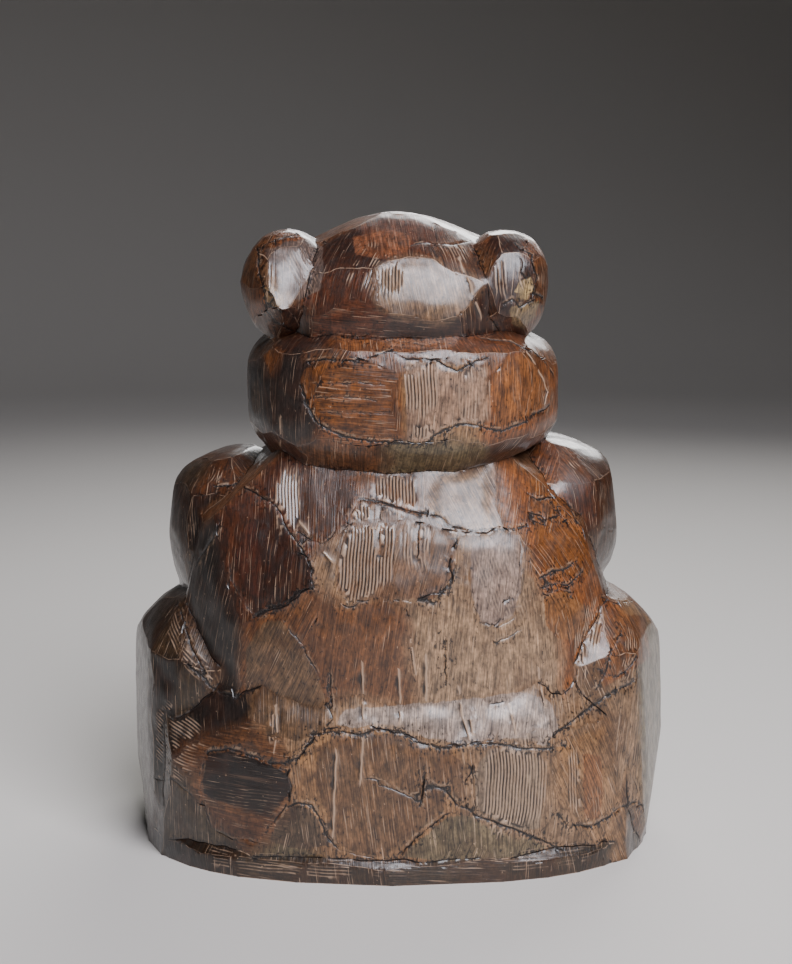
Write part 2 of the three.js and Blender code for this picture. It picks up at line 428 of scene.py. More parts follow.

# %% [markdown]
# ## Cracks of the head, neck and shoulders
# Here the cracks run along the rims of the ears and follow the neck roll. Width, depth and
# darkness are judged, and the pixels are read along each crack.

# %% Cracks above
CRACKS = {
    "neck, upper left": Crack(0.9, 0.5, 0.9, (305, 363), (329, 360), (355, 360), (376, 356), (391, 350)),
    "neck, upper right": Crack(
        0.9, 0.5, 0.9, (391, 350), (406, 359), (433, 360), (457, 371), (477, 362), (487, 358)),
    "under the lip": Crack(0.7, 0.3, 0.6, (342, 339), (369, 337), (391, 341), (423, 345), (450, 343)),
    "neck, right shoulder": Crack(0.8, 0.3, 0.8, (483, 339), (524, 346), (543, 358), (552, 374)),
    "neck, lower left": Crack(
        1.0, 0.5, 1.0, (302, 384), (307, 404), (318, 424), (342, 437), (372, 441), (403, 444), (425, 445)),
    "neck, lower right": Crack(
        1.0, 0.5, 1.0, (425, 445), (443, 430), (463, 424), (483, 428), (504, 430), (527, 420), (547, 405)),
    "brush line 1": Crack(0.5, 0.2, 0.7, (312, 385), (355, 382), (386, 385)),
    "brush line 2": Crack(0.5, 0.2, 0.7, (312, 398), (342, 396), (376, 401)),
    "brush line 3": Crack(0.5, 0.2, 0.6, (322, 413), (355, 412), (382, 414)),
    "ear L, rim": Crack(0.9, 0.5, 0.9, (257, 248), (275, 240), (302, 234), (315, 234), (325, 242)),
    "ear L, chips": Crack(
        1.3, 0.6, 1.0, (258, 252), (260, 276), (263, 296), (266, 313), (275, 323), (298, 331)),
    "ear L, inner chips": Crack(0.9, 0.4, 0.9, (262, 290), (272, 296), (268, 305), (280, 314)),
    "crown": Crack(0.7, 0.3, 0.8, (412, 246), (430, 244), (463, 244), (480, 235), (497, 229)),
    "crown loop": Crack(0.6, 0.3, 0.6, (433, 230), (436, 219), (455, 222), (478, 232)),
    "ear R, rim": Crack(0.9, 0.5, 0.9, (514, 244), (532, 255), (537, 276), (534, 294), (543, 296)),
    "ear R, chips": Crack(0.9, 0.4, 1.0, (504, 304), (512, 299), (520, 307), (534, 301), (540, 296)),
    "ear R, notch": Crack(0.8, 0.4, 0.9, (518, 256), (523, 262), (521, 272), (528, 279)),
    "arm L, line": Crack(0.9, 0.5, 0.9, (216, 487), (241, 485), (258, 495), (275, 505)),
    "arm L, fold": Crack(1.2, 0.7, 1.0, (218, 525), (206, 546), (195, 566)),
    "shoulder L, right edge": Crack(
        0.8, 0.4, 0.8, (275, 505), (288, 529), (298, 543), (312, 569), (313, 586)),
    "shoulder L, foot": Crack(
        1.5, 0.8, 1.0, (314, 586), (302, 590), (288, 603), (270, 609), (254, 618)),
    "shoulder L, left edge": Crack(0.7, 0.3, 0.6, (254, 617), (240, 596), (231, 580), (229, 559)),
}
print(len(CRACKS), "cracks on head, neck and shoulders")

# %% [markdown]
# ## Cracks of the back
# The middle of the back has the long horizontal tears and, at its right, short ones like bark.

# %% Cracks of the back
CRACKS |= {
    "back, beside the comb": Crack(0.6, 0.3, 0.7, (298, 534), (308, 539), (323, 543), (334, 536), (336, 529)),
    "back, upper": Crack(
        1.1, 0.6, 1.0, (359, 500), (382, 504), (406, 511), (426, 513), (440, 517), (448, 526)),
    "back, under the glare": Crack(
        1.0, 0.5, 0.9, (448, 526), (463, 529), (477, 529), (504, 528), (526, 527)),
    "round patch, left": Crack(0.6, 0.2, 0.4, (356, 506), (345, 530), (337, 560), (334, 588)),
    "round patch, right": Crack(0.7, 0.3, 0.6, (448, 526), (458, 540), (457, 556), (455, 569)),
    "round patch, lower right": Crack(
        1.5, 0.6, 0.9, (455, 569), (449, 584), (440, 594), (433, 603), (420, 600)),
    "round patch, foot": Crack(0.8, 0.3, 0.6, (420, 601), (400, 600), (376, 601), (349, 600), (334, 591)),
    "grey patch": Crack(
        0.6, 0.25, 0.4, (520, 540), (521, 590), (514, 617), (497, 628), (480, 623), (470, 596), (468, 566)),
    "bark 1": Crack(0.9, 0.5, 0.9, (526, 495), (536, 501), (544, 498), (556, 496)),
    "bark 2": Crack(0.9, 0.5, 1.0, (527, 513), (538, 516), (546, 520), (559, 516), (568, 524)),
    "bark 3": Crack(0.8, 0.4, 0.8, (531, 521), (541, 527), (550, 524)),
    "bark 4": Crack(0.9, 0.5, 0.9, (541, 577), (552, 571), (563, 570), (574, 562)),
    "bark 5": Crack(0.9, 0.5, 1.0, (543, 588), (555, 584), (566, 586), (581, 573)),
    "bark 6": Crack(0.8, 0.4, 0.8, (548, 594), (559, 590), (570, 593)),
    "bark 7": Crack(0.7, 0.4, 0.7, (552, 507), (562, 506), (569, 512)),
    "side seam R": Crack(
        0.9, 0.5, 0.8, (564, 499), (578, 522), (590, 541), (597, 556)),
    "left of the middle": Crack(
        0.7, 0.3, 0.7, (286, 622), (302, 646), (318, 676), (325, 694), (332, 720), (322, 733)),
    "dash": Crack(0.6, 0.3, 0.6, (493, 644), (508, 637), (520, 630)),
}
print(len(CRACKS), "with those of the back")

# %% [markdown]
# ## Cracks of waist, hips and haunches
# The waist is torn nearly all the way across, and branches run down from it between the patches.

# %% Cracks below
CRACKS |= {
    "waist": Crack(
        1.3, 0.8, 1.0, (309, 736), (329, 732), (342, 731), (356, 736), (376, 730), (399, 733), (416, 741),
        (433, 747), (453, 748), (470, 745), (490, 743)),
    "waist, right": Crack(
        1.1, 0.6, 0.9, (490, 743), (511, 745), (524, 749), (544, 750), (568, 745)),
    "waist, left": Crack(
        1.0, 0.6, 0.9, (208, 752), (231, 749), (255, 756), (268, 761), (285, 764), (300, 758), (312, 740)),
    "dark patch, left": Crack(0.7, 0.3, 0.5, (206, 754), (201, 781), (204, 805), (213, 829)),
    "dark patch, right": Crack(0.9, 0.4, 0.7, (268, 762), (287, 772), (292, 787), (285, 807), (268, 829)),
    "dark patch, foot": Crack(0.7, 0.3, 0.5, (213, 830), (234, 839), (261, 842)),
    "olive peak": Crack(
        1.0, 0.5, 0.9, (288, 806), (300, 803), (311, 806), (320, 819), (327, 838), (335, 846)),
    "hips, short black": Crack(1.4, 0.8, 1.0, (430, 786), (440, 788), (450, 788)),
    "hips, right slope": Crack(
        1.1, 0.6, 0.9, (444, 790), (457, 804), (477, 815), (500, 824), (524, 833), (548, 844), (563, 850)),
    "hips, left slope": Crack(0.9, 0.5, 0.8, (398, 854), (411, 843), (423, 833), (437, 821), (450, 813)),
    "hips, foot": Crack(0.6, 0.2, 0.4, (337, 848), (356, 855), (379, 860), (396, 857)),
    "haunch R, foot": Crack(
        1.2, 0.7, 1.0, (559, 815), (566, 825), (591, 827), (608, 818), (624, 806), (636, 802), (646, 809)),
    "haunch R, across": Crack(
        1.5, 0.7, 0.9, (548, 742), (560, 732), (571, 722), (591, 705), (608, 695), (625, 686), (640, 676)),
    "haunch R, upper": Crack(1.0, 0.5, 0.8, (596, 690), (606, 670), (612, 650), (621, 632)),
    "haunch R, scribble": Crack(0.8, 0.5, 0.9, (600, 668), (612, 678), (626, 672), (640, 655)),
    "haunch R, edge": Crack(0.9, 0.5, 0.7, (603, 597), (618, 604), (634, 601), (648, 612)),
    "haunch L, star": Crack(1.2, 0.6, 0.9, (188, 665), (198, 672), (210, 686), (222, 693), (236, 697)),
    "haunch L, inner": Crack(0.9, 0.5, 0.8, (176, 600), (186, 630), (196, 656), (205, 676)),
    "haunch L, low": Crack(0.9, 0.5, 0.9, (146, 776), (160, 781), (172, 780), (190, 794)),
    "hip R, column": Crack(0.6, 0.25, 0.4, (581, 752), (580, 790), (581, 820)),
    "hip R, edge": Crack(0.7, 0.3, 0.5, (625, 740), (630, 770), (640, 800)),
}
print(len(CRACKS), "with those of hips and haunches")

# %% [markdown]
# ## Burrs and slits
# Where the knife left the clay it pulled up a thin burr. Where it was pressed in it left a slit.

# %% Burrs and slits
CRACKS |= {
    "burr 1": burr(0.45, (362, 662), (363, 700), (363, 738), (361, 783)),
    "burr 2": burr(0.35, (399, 669), (400, 695), (400, 722)),
    "burr 3": burr(0.35, (411, 640), (414, 664), (418, 690)),
    "burr 4": burr(0.40, (426, 655), (426, 680), (426, 708)),
    "burr 5": burr(0.50, (458, 687), (462, 712), (469, 738), (473, 762)),
    "burr 6": burr(0.40, (467, 698), (470, 718), (473, 735)),
    "burr 7": burr(0.35, (507, 697), (512, 718), (519, 742)),
    "burr 8": burr(0.40, (537, 667), (543, 696), (548, 721), (553, 739)),
    "burr 9": burr(0.45, (336, 750), (335, 780), (334, 805), (333, 836)),
    "burr 10": burr(0.40, (300, 522), (318, 545), (336, 567)),
    "burr 11": burr(0.35, (276, 708), (277, 732), (274, 752)),
    "burr 12": burr(0.40, (525, 348), (537, 366), (545, 392), (541, 413)),
    "burr 13": burr(0.40, (460, 262), (470, 282), (477, 305), (480, 318)),
    "burr 14": burr(0.35, (281, 419), (280, 434), (281, 446)),
    "burr 15": burr(0.35, (604, 655), (616, 670), (619, 690)),
    "slit 1": Crack(0.7, 0.5, 0.9, (445, 640), (446, 662), (445, 685)),
    "slit 2": Crack(1.1, 0.8, 1.0, (424, 775), (423, 790), (421, 803)),
    "slit 3": Crack(0.7, 0.4, 0.8, (330, 674), (332, 696), (331, 716)),
    "slit 4": Crack(0.6, 0.3, 0.8, (378, 785), (396, 791), (415, 799)),
    "slit 5": Crack(0.6, 0.3, 0.7, (368, 778), (390, 784), (412, 794)),
    "slit 6": Crack(0.6, 0.4, 0.9, (419, 511), (419, 535), (418, 557)),
    "slit 7": Crack(0.6, 0.3, 0.7, (380, 508), (379, 530), (378, 552)),
    "slit 8": Crack(0.7, 0.4, 0.8, (472, 765), (473, 785), (474, 806)),
    "slit 9": Crack(0.6, 0.3, 0.7, (445, 436), (445, 443), (446, 449)),
}
print(len(CRACKS), "cracks and burrs")

# %% [markdown]
# ## Lay the cracks on the skin
# Nobody tears a straight line, so each crack strays a little on its way. What the material needs
# later is kept too: where every point of a crack is, and which way its side lies.

# %% Cracks on the skin
WALK = 2.4  # pixels between the points of a crack, which is about a millimetre
STRAY_X = ((1.9, 17, 31), (1.1, 5, 32))  # in pixels
STRAY_Y = ((1.9, 17, 33), (1.1, 5, 34))
SHORTEST = 4  # points: a shorter stretch on a facet is left out
cracks_on = {}  # for each facet, the stretches of cracks that cross it
crack_places, crack_sides, crack_kinds = [], [], []


def trace(number, crack):
    """Walks the crack over the skin, shaking a little, and notes each stretch on one facet."""
    walked = []
    for (x0, y0), (x1, y1) in zip(crack.pixels, crack.pixels[1:]):
        count = max(1, round(math.hypot(x1 - x0, y1 - y0) / WALK))
        walked += [(x0 + (x1 - x0) * i / count, y0 + (y1 - y0) * i / count) for i in range(count)]
    walked.append(crack.pixels[-1])
    shake = 0.5 if crack.depth < 0 else 1.0  # burrs run straighter than cracks
    found = []
    for x, y in walked:
        spot = (x, y, number * 31)
        seen = seen_at((x + shake * waves(spot, STRAY_X), y + shake * waves(spot, STRAY_Y)))
        if seen is not None:
            found.append(seen)
    places = np.array([place for place, _ in found])
    ways = np.gradient(places, axis=0)
    start = 0
    for i in range(1, len(found) + 1):
        if i == len(found) or found[i][1] != found[start][1]:
            if i - start >= SHORTEST:
                cracks_on.setdefault(found[start][1], []).append((places[start:i], crack))
            start = i
    for (place, facet), way in zip(found, ways):
        crack_places.append(place)
        crack_sides.append(unit(np.cross(facet_normal[facet], way)))
        crack_kinds.append(crack)


for number, named in enumerate(CRACKS.values()):
    trace(number, named)
crack_tree = kdtree.KDTree(len(crack_places))
for i, place in enumerate(crack_places):
    crack_tree.insert(place, i)
crack_tree.balance()
print(len(crack_places), "points on cracks and burrs")

# %% [markdown]
# ## The border rows
# Where a named crack runs along a border, the border itself is torn. The deep creases are torn
# all along, as they are on the real bear, because no rag reaches into them. The other borders
# stay soft, and outer edges are worn pale.

# %% Beside a crack
BESIDE = 2.2  # millimetres: a border this near a crack is torn with it
NO_LENGTH = 1e-12  # a segment this short has no direction


def distances(spots, starts, ends):
    """From each spot to each segment: the distance, and how far along the foot lies."""
    way = ends - starts
    rel = spots[:, None] - starts[None]
    share = np.clip((rel * way).sum(2) / np.maximum((way * way).sum(1), NO_LENGTH), 0, 1)
    gap = rel - share[..., None] * way
    return np.sqrt((gap * gap).sum(2)), share


def crack_beside(place):
    """How dark the crack beside a place is, or 0 where none is near."""
    _, index, far = crack_tree.find(place)
    return crack_kinds[index].dark * float(smooth(BESIDE - far, 0, BESIDE * 0.6))


# %% [markdown]
# ## The points of the skin
# Lists hold every point and what it knows of itself. Corners of the solid are points that several
# borders share, so each is made once.

# %% Points
points = []  # places in millimetres, before the marks are cut
relief = []  # how far each point is then raised, in millimetres
grooved = []  # how deep in a groove each point is, from 0 to 1
worn = []  # how pale each point is, from wear on outer edges and burrs and from a painted highlight on comb ridges, from 0 to 1
crisp = []  # from 0 where the form is soft to 1 where it stays sharp
outlines = {}  # for each facet, its rows of border points and the neighbour beyond each row


def add_point(place, raised=0.0, groove=0.0, wear_and_highlight=0.0, sharp=0.0):
    points.append(place)
    relief.append(raised)
    grooved.append(groove)
    worn.append(wear_and_highlight)
    crisp.append(sharp)
    return len(points) - 1


corner_point = {}  # the point made for each corner of the solid


def corner_index(corner):
    if corner not in corner_point:
        corner_point[corner] = add_point(corners[corner].copy(), groove=0.2, wear_and_highlight=0.1, sharp=0.2)
    return corner_point[corner]


# %% [markdown]
# ## Walk every border
# A border wanders more where its facets meet flatly and have room. Outer edges are worn, deep
# creases are torn, and both get only as sharp as the noise lets them, so that no two are alike.

# %% Borders
MOST_WANDER = 4.0  # millimetres
SIDEWAYS = 0.75  # millimetres of depth that a wandering border may take from its facets
TEAR_DEPTH = 0.7  # millimetres
DEEP_CREASE = math.radians(25)  # a hollow that turns more than this is a deep crease
WORN_TURN = (0.2, 0.7)  # radians between which an outer edge goes from unworn to worn
TORN = (0.25, 0.85)  # from where to where the noise opens a tear
STARTS_OVER = 9.0  # millimetres from its ends over which a border starts to wander
BORDER_WAVES = ((1.0, 19.0, 1), (0.35, 6.0, 2), (0.12, 2.2, 17))
RAGGED_WAVES = ((1.0, 4.2, 4), (0.6, 1.6, 5))


def lay_border(left, right, first, last):
    """Makes one border's points and returns them in order."""
    start, end = corners[first], corners[last]
    length = np.linalg.norm(end - start)
    fine = is_back(left) or is_back(right)
    under = is_under(left) or is_under(right)
    count = max(1, round(length / (BACK_STEP if fine else FRONT_STEP)))
    row = [corner_index(first)]
    along = unit(end - start)
    both = unit(facet_normal[left] + facet_normal[right])
    across = unit(np.cross(both, along))
    turn = math.acos(float(np.clip(facet_normal[left] @ facet_normal[right], -1, 1)))
    hollow = (facet_centre[right] - start) @ facet_normal[left] > 0
    deep_crease = hollow and turn > DEEP_CREASE
    lean = max(math.sin(turn / 2), 0.05)
    room = min(facet_inner[left], facet_inner[right])
    reach = 0.0 if under else min(MOST_WANDER, SIDEWAYS / lean, room * 0.35)
    depth = 0.0 if under or length < 2 else TEAR_DEPTH * min(1.0, room / 4)
    middle = (start + end) / 2
    torn = 0.95 if deep_crease else 0.3 * wander(middle, 23, 3)
    softness = 0.5 + 0.5 * wander(middle, 17, 15)
    for i in range(1, count):
        place = start + (end - start) * (i / count)
        from_end = min(i, count - i) * length / count
        ramp = float(smooth(from_end, 0, min(STARTS_OVER, length * 0.5)))
        wave = waves(place, BORDER_WAVES)
        ragged = waves(place, RAGGED_WAVES)
        here = max(torn, crack_beside(place)) if fine else torn
        tear = float(smooth(here + 0.7 * ragged, *TORN))
        wear_and_highlight = 0.0 if hollow else float(smooth(turn, *WORN_TURN) * (1 - tear)) * softness
        sharp = 0.75 if deep_crease else max(0.45 * (1 - softness), 0.5 * tear)
        cut = -depth * tear * (0.6 + 0.4 * ragged)
        place = place + across * reach * ramp * wave * 1.5
        row.append(add_point(place, cut, tear, wear_and_highlight, sharp))
    row.append(corner_index(last))
    return row


for left, right, first, last in chains:
    row = lay_border(left, right, first, last)
    outlines.setdefault(left, []).append((row, right))
    outlines.setdefault(right, []).append((row[::-1], left))
border_points = len(points)
print(border_points, "points on borders")


# %% [markdown]
# ## Comb strokes
# A toothed steel dragged over the clay leaves parallel furrows about 1.5 mm apart. They show as
# bright and dark stripes, so they are real ridges in the mesh: rows of points half a furrow
# apart, alternately high and low, tied together by edges that run with the stroke. The ridges
# are also painted pale, as a painted highlight.

# %% Comb strokes
PITCH = 1.5  # millimetres between furrows
FURROW = 0.42  # millimetres from ridge to furrow

# Each stroke: place (x, z), half width across the furrows, half length along them, lean in
# degrees from upright, depth as a share of FURROW.
BACK_STROKES = [
    (-5, 272, 9, 10, -6, 1.0),
    (-20, 274, 2.5, 7, -8, 0.8),
    (-13, 286, 6, 5, -5, 0.6),
    (-58, 271, 4, 9, -3, 0.9),
    (-43, 276, 6, 11, 24, 0.6),
    (47, 272, 3, 10, 3, 0.9),
    (56, 272, 3, 6, 8, 0.8),
    (11, 225, 8, 13, 2, 1.0),
    (12, 205, 5, 6, 0, 1.0),
    (35, 221, 8, 15, 0, 0.7),
    (54, 222, 4, 10, 5, 0.5),
    (0, 175, 10, 10, 0, 1.1),
    (-13, 150, 13, 20, -3, 1.1),
    (9, 154, 7, 11, 0, 0.8),
    (47, 136, 10, 18, 18, 0.5),
    (70, 91, 3, 5, 0, 0.7),
    (54, 43, 15, 19, -4, 1.0),
    (-49, 171, 6, 15, 9, 1.0),
    (-55, 71, 4, 9, 2, 1.0),
    (-98, 100, 4.5, 20, 45, 0.7),
    (-104, 58, 16, 14, 70, 0.8),
    (-66, 36, 6, 18, 90, 0.4),
    (84, 98, 4, 13, 2, 1.0),
    (90, 111, 7, 11, -15, 1.0),
    (81, 44, 4, 14, 0, 0.9),
    (-56, 8, 5, 34, 90, 0.7),
    (8, 7, 4, 30, 90, 0.4),
    (66, 9, 5, 26, 90, 0.5),
    (-43, 100, 8, 14, 0, 0.3),
    (22, 104, 9, 15, 0, 0.3),
    (-8, 78, 12, 6, 0, 0.35),
    (45, 78, 11, 8, 0, 0.5),
    (-95, 150, 6, 14, 10, 0.5),
    (97, 164, 5, 12, -8, 0.5),
    (96, 30, 8, 12, 5, 0.5),
    (110, 96, 5, 14, -25, 0.7),
    (112, 60, 6, 16, -5, 0.5),
]


print(len(BACK_STROKES), "comb strokes by hand")

# %% [markdown]
# ## Which facets a stroke crosses
# A stroke doesn't stop at a border, so it is given to every facet under it. Other facets of some
# size get a stroke by chance, so that the front and the sides are in keeping.

# %% Strokes on facets
NEARLY_LEVEL = 0.2  # a facet whose normal is this near upright takes its directions from the y axis
ROOM_FOR_COMB = 250  # square millimetres
COMBED_ON_BACK, COMBED_ELSEWHERE = 0.30, 0.25  # the share of facets that are combed by chance


def facet_axes(facet):
    """Two directions in the facet's plane: sideways and upwards, seen from outside."""
    normal = facet_normal[facet]
    sideways = np.cross((0, 0, 1), normal)
    if np.linalg.norm(sideways) < NEARLY_LEVEL:
        sideways = np.cross((0, 1, 0), normal)
    sideways = unit(sideways)
    return sideways, np.cross(normal, sideways)


strokes = {}
for x, z, half_width, half_length, lean, depth in BACK_STROKES:
    place, _ = point_at(x, z)
    turn = math.radians(lean)
    crossed = set()
    for across in (-0.7, 0, 0.7):
        for along in (-0.8, -0.4, 0, 0.4, 0.8):
            dx = across * half_width * math.cos(turn) - along * half_length * math.sin(turn)
            dz = across * half_width * math.sin(turn) + along * half_length * math.cos(turn)
            crossed.add(point_at(x + dx, z + dz)[1])
    for facet in crossed:
        strokes.setdefault(facet, []).append((place, half_width, half_length, turn, depth))

rng = np.random.default_rng(7)
named_facets = set(strokes)
for facet in range(facet_count):
    if facet in named_facets or is_under(facet) or facet_area[facet] < ROOM_FOR_COMB:
        continue
    if rng.random() < (COMBED_ON_BACK if is_back(facet) else COMBED_ELSEWHERE):
        half = math.sqrt(facet_area[facet]) * rng.uniform(0.22, 0.36)
        lean = math.radians(rng.normal(0, 14))
        strokes[facet] = [(facet_centre[facet], half * 0.8, half, lean, rng.uniform(0.35, 0.8))]
print(len(strokes), "facets carry comb strokes")

# %% [markdown]
# ## A flat drawing of each facet
# The facet is drawn flat. Its outline, the rows beside the outline, the comb rows and the slits
# go in as points, and the ones that belong together are tied by edges. A Delaunay triangulation
# fills it with the best triangles that respect those edges.

# %% Flat drawing of a facet
def inside(spots, starts, ends):
    """Which spots lie inside the outline: an odd number of its edges is to their right."""
    x, y = spots[:, 0, None], spots[:, 1, None]
    above = (starts[:, 1] > y) != (ends[:, 1] > y)
    rise = ends[:, 1] - starts[:, 1]
    rise = np.where(np.abs(rise) < NO_LENGTH, NO_LENGTH, rise)
    cross = starts[:, 0] + (y - starts[:, 1]) / rise * (ends[:, 0] - starts[:, 0])
    return (np.sum(above & (x < cross), axis=1) % 2) == 1


class Drawing:
    """A facet drawn flat, in millimetres, with the points that its surface will have."""

    def __init__(self, facet):
        self.facet = facet
        self.sideways, self.upwards = facet_axes(facet)
        self.origin = facet_centre[facet]
        sides = [(a, b, beyond) for row, beyond in outlines[facet] for a, b in zip(row, row[1:])]
        self.beyond = [beyond for _, _, beyond in sides]  # the neighbour across each side
        self.shared = list(dict.fromkeys(point for a, b, _ in sides for point in (a, b)))
        slot = {point: i for i, point in enumerate(self.shared)}
        self.flat = [self.to_flat(points[p]) for p in self.shared]
        self.edges = [(slot[a], slot[b]) for a, b, _ in sides]
        self.starts = np.array([self.flat[a] for a, _ in self.edges])
        self.ends = np.array([self.flat[b] for _, b in self.edges])
        self.outline_size = len(self.edges)
        self.crack_rows = []
        self.combs = []
        self.height = [0.0] * len(self.flat)
        self.dark = [grooved[p] for p in self.shared]
        self.bright = [worn[p] for p in self.shared]

    def to_flat(self, place):
        rel = place - self.origin
        return np.array((rel @ self.sideways, rel @ self.upwards))

    def add(self, spot, height=0.0, dark=0.0, bright=0.0):
        self.flat.append(np.asarray(spot, float))
        self.height.append(height)
        self.dark.append(dark)
        self.bright.append(bright)
        return len(self.flat) - 1

    def add_row(self, spots, marks, fits):
        """Adds the spots that fit, with their marks, and ties each to the one before it."""
        last = None
        for spot, mark, fit in zip(spots, marks, fits):
            made = self.add(spot, *mark) if fit else None
            if last is not None and made is not None:
                self.edges.append((last, made))
            last = made

    def free(self, spots, gap):
        """Which spots are inside the outline and at least a gap away from it."""
        if len(spots) == 0:
            return np.zeros(0, bool)
        far, _ = distances(spots, self.starts, self.ends)
        return inside(spots, self.starts, self.ends) & (far.min(axis=1) > gap)


# %% [markdown]
# ## Keep points apart
# Points that crowd make slivers, which shade badly. So spots are dropped that come too near to
# one that is kept. Sorting them into square cells first saves comparing every pair.

# %% Thin out
def thin_out(spots, kept, gap):
    """The spots that stay a gap away from the kept ones and from each other."""
    cells = {}

    def cell(spot):
        return int(spot[0] // gap), int(spot[1] // gap)

    def near(spot):
        i, j = cell(spot)
        for di in (-1, 0, 1):
            for dj in (-1, 0, 1):
                for other in cells.get((i + di, j + dj), ()):
                    if (other[0] - spot[0]) ** 2 + (other[1] - spot[1]) ** 2 < gap * gap:
                        return True
        return False

    for spot in kept:
        cells.setdefault(cell(spot), []).append(spot)
    chosen = []
    for i, spot in enumerate(spots):
        if not near(spot):
            chosen.append(i)
            cells.setdefault(cell(spot), []).append(spot)
    return chosen


# %% [markdown]
# ## Rows beside the outline
# A groove along a border must stay narrow, and a mesh can only be as narrow as its points are
# near. So points follow the outline closely on its inner side.

# %% Rows beside the outline
def left_of(way):
    """The directions a quarter turn to the left of flat ones."""
    return np.stack((-way[:, 1], way[:, 0]), axis=1)


def draw_rows_beside_outline(drawing):
    """Two rows of points just inside the outline, so that grooves stay narrow."""
    inward = left_of(unit(drawing.ends - drawing.starts))
    spots = np.concatenate((
        drawing.starts + inward * GROOVE_REACH,
        (drawing.starts + drawing.ends) / 2 + inward * (GROOVE_REACH * 2.6),
    ))
    free = drawing.free(spots, GROOVE_REACH * 0.85)
    spots = spots[free]
    for i in thin_out(spots, [], GROOVE_REACH * 1.2):
        drawing.add(spots[i])


# %% [markdown]
# ## Draw the cracks
# A crack is three rows of points: the bottom in the middle and a lip on either side. Cracks are
# left out where they would touch a border or each other, because crossing edges spoil the mesh.

# %% Cracks on a facet
CRACK_FROM_BORDER, CRACK_FROM_CRACK = 1.25, 2.2  # millimetres
OPENS_OVER = 4  # points from its end over which a crack opens
SHARP_BEND = 0.6  # the cosine of the bend at which a row breaks off
BOTTOM = 0.75  # of the depth: the mesh can't go deeper in so narrow a crack
LIP = 0.08  # millimetres
BURR_PROFILE = {-1: -0.7, 0: 1.0, 1: 0.1}  # cut on one side, high in the middle, flat on the other


def draw_cracks(drawing):
    """A crack is a row of points in the middle and one on each lip. A burr is the same, raised."""
    for places, crack in cracks_on.get(drawing.facet, ()):
        middle = np.array([drawing.to_flat(place) for place in places])
        way = unit(np.gradient(middle, axis=0))
        side = left_of(way)
        bends = np.concatenate(([False], (way[1:] * way[:-1]).sum(axis=1) < SHARP_BEND))
        fits = drawing.free(middle, CRACK_FROM_BORDER) & ~bends
        fits &= clear_of_cracks(drawing, middle, CRACK_FROM_CRACK)
        if fits.sum() < 3:
            continue
        for row in (-1, 0, 1):
            spots, marks = [], []
            for i, place in enumerate(places):
                open_to = min(i + 1, len(places) - i, OPENS_OVER) / OPENS_OVER
                strong = open_to * (0.65 + 0.6 * wander(place, 5.5, 8))
                if crack.depth > 0:
                    height = -BOTTOM * crack.depth * strong if row == 0 else LIP * strong
                    dark, bright = (0.42 * crack.dark * open_to if row == 0 else 0.0), 0.2 * abs(row)
                else:
                    height = -crack.depth * strong * BURR_PROFILE[row]
                    dark, bright = (0.75 * strong if row < 0 else 0.0), (1.0 if row == 0 else 0.3)
                spots.append(middle[i] + side[i] * row * crack.width * (0.35 + 0.25 * open_to))
                marks.append((height, dark, bright))
            drawing.add_row(spots, marks, fits)
        drawing.crack_rows.append(middle[fits])


def clear_of_cracks(drawing, spots, gap):
    """Which spots are at least a gap away from the cracks that were drawn before."""
    clear = np.ones(len(spots), bool)
    for row in drawing.crack_rows:
        far = np.linalg.norm(spots[:, None] - row[None], axis=2)
        clear &= far.min(axis=1) > gap
    return clear


# %% [markdown]
# ## Draw the comb strokes
# Ridges and furrows take turns across the stroke. Its outer furrows are shorter, its ends fade,
# and the rows sway together, because a hand pulled the comb. A later stroke stops at an earlier.

# %% Combs on a facet
COMB_FROM_BORDER, COMB_FROM_CRACK, COMB_FROM_COMB = 1.1, 1.6, 0.9  # millimetres
RIDGE_SHARE, FURROW_SHARE = 0.4, -0.6  # of FURROW, above and below the facet
COMB_STEP = 2.4  # millimetres between points along a furrow
FADES_OVER = 4.5  # millimetres from its ends over which a furrow fades


def near_comb(drawing, spot):
    """Is the spot on a comb stroke that was drawn before?"""
    for centre, side, run, half_width, half_length in drawing.combs:
        rel = spot - centre
        beside = abs(rel @ side) < half_width + COMB_FROM_COMB
        if beside and abs(rel @ run) < half_length * 1.3 + 1:
            return True
    return False


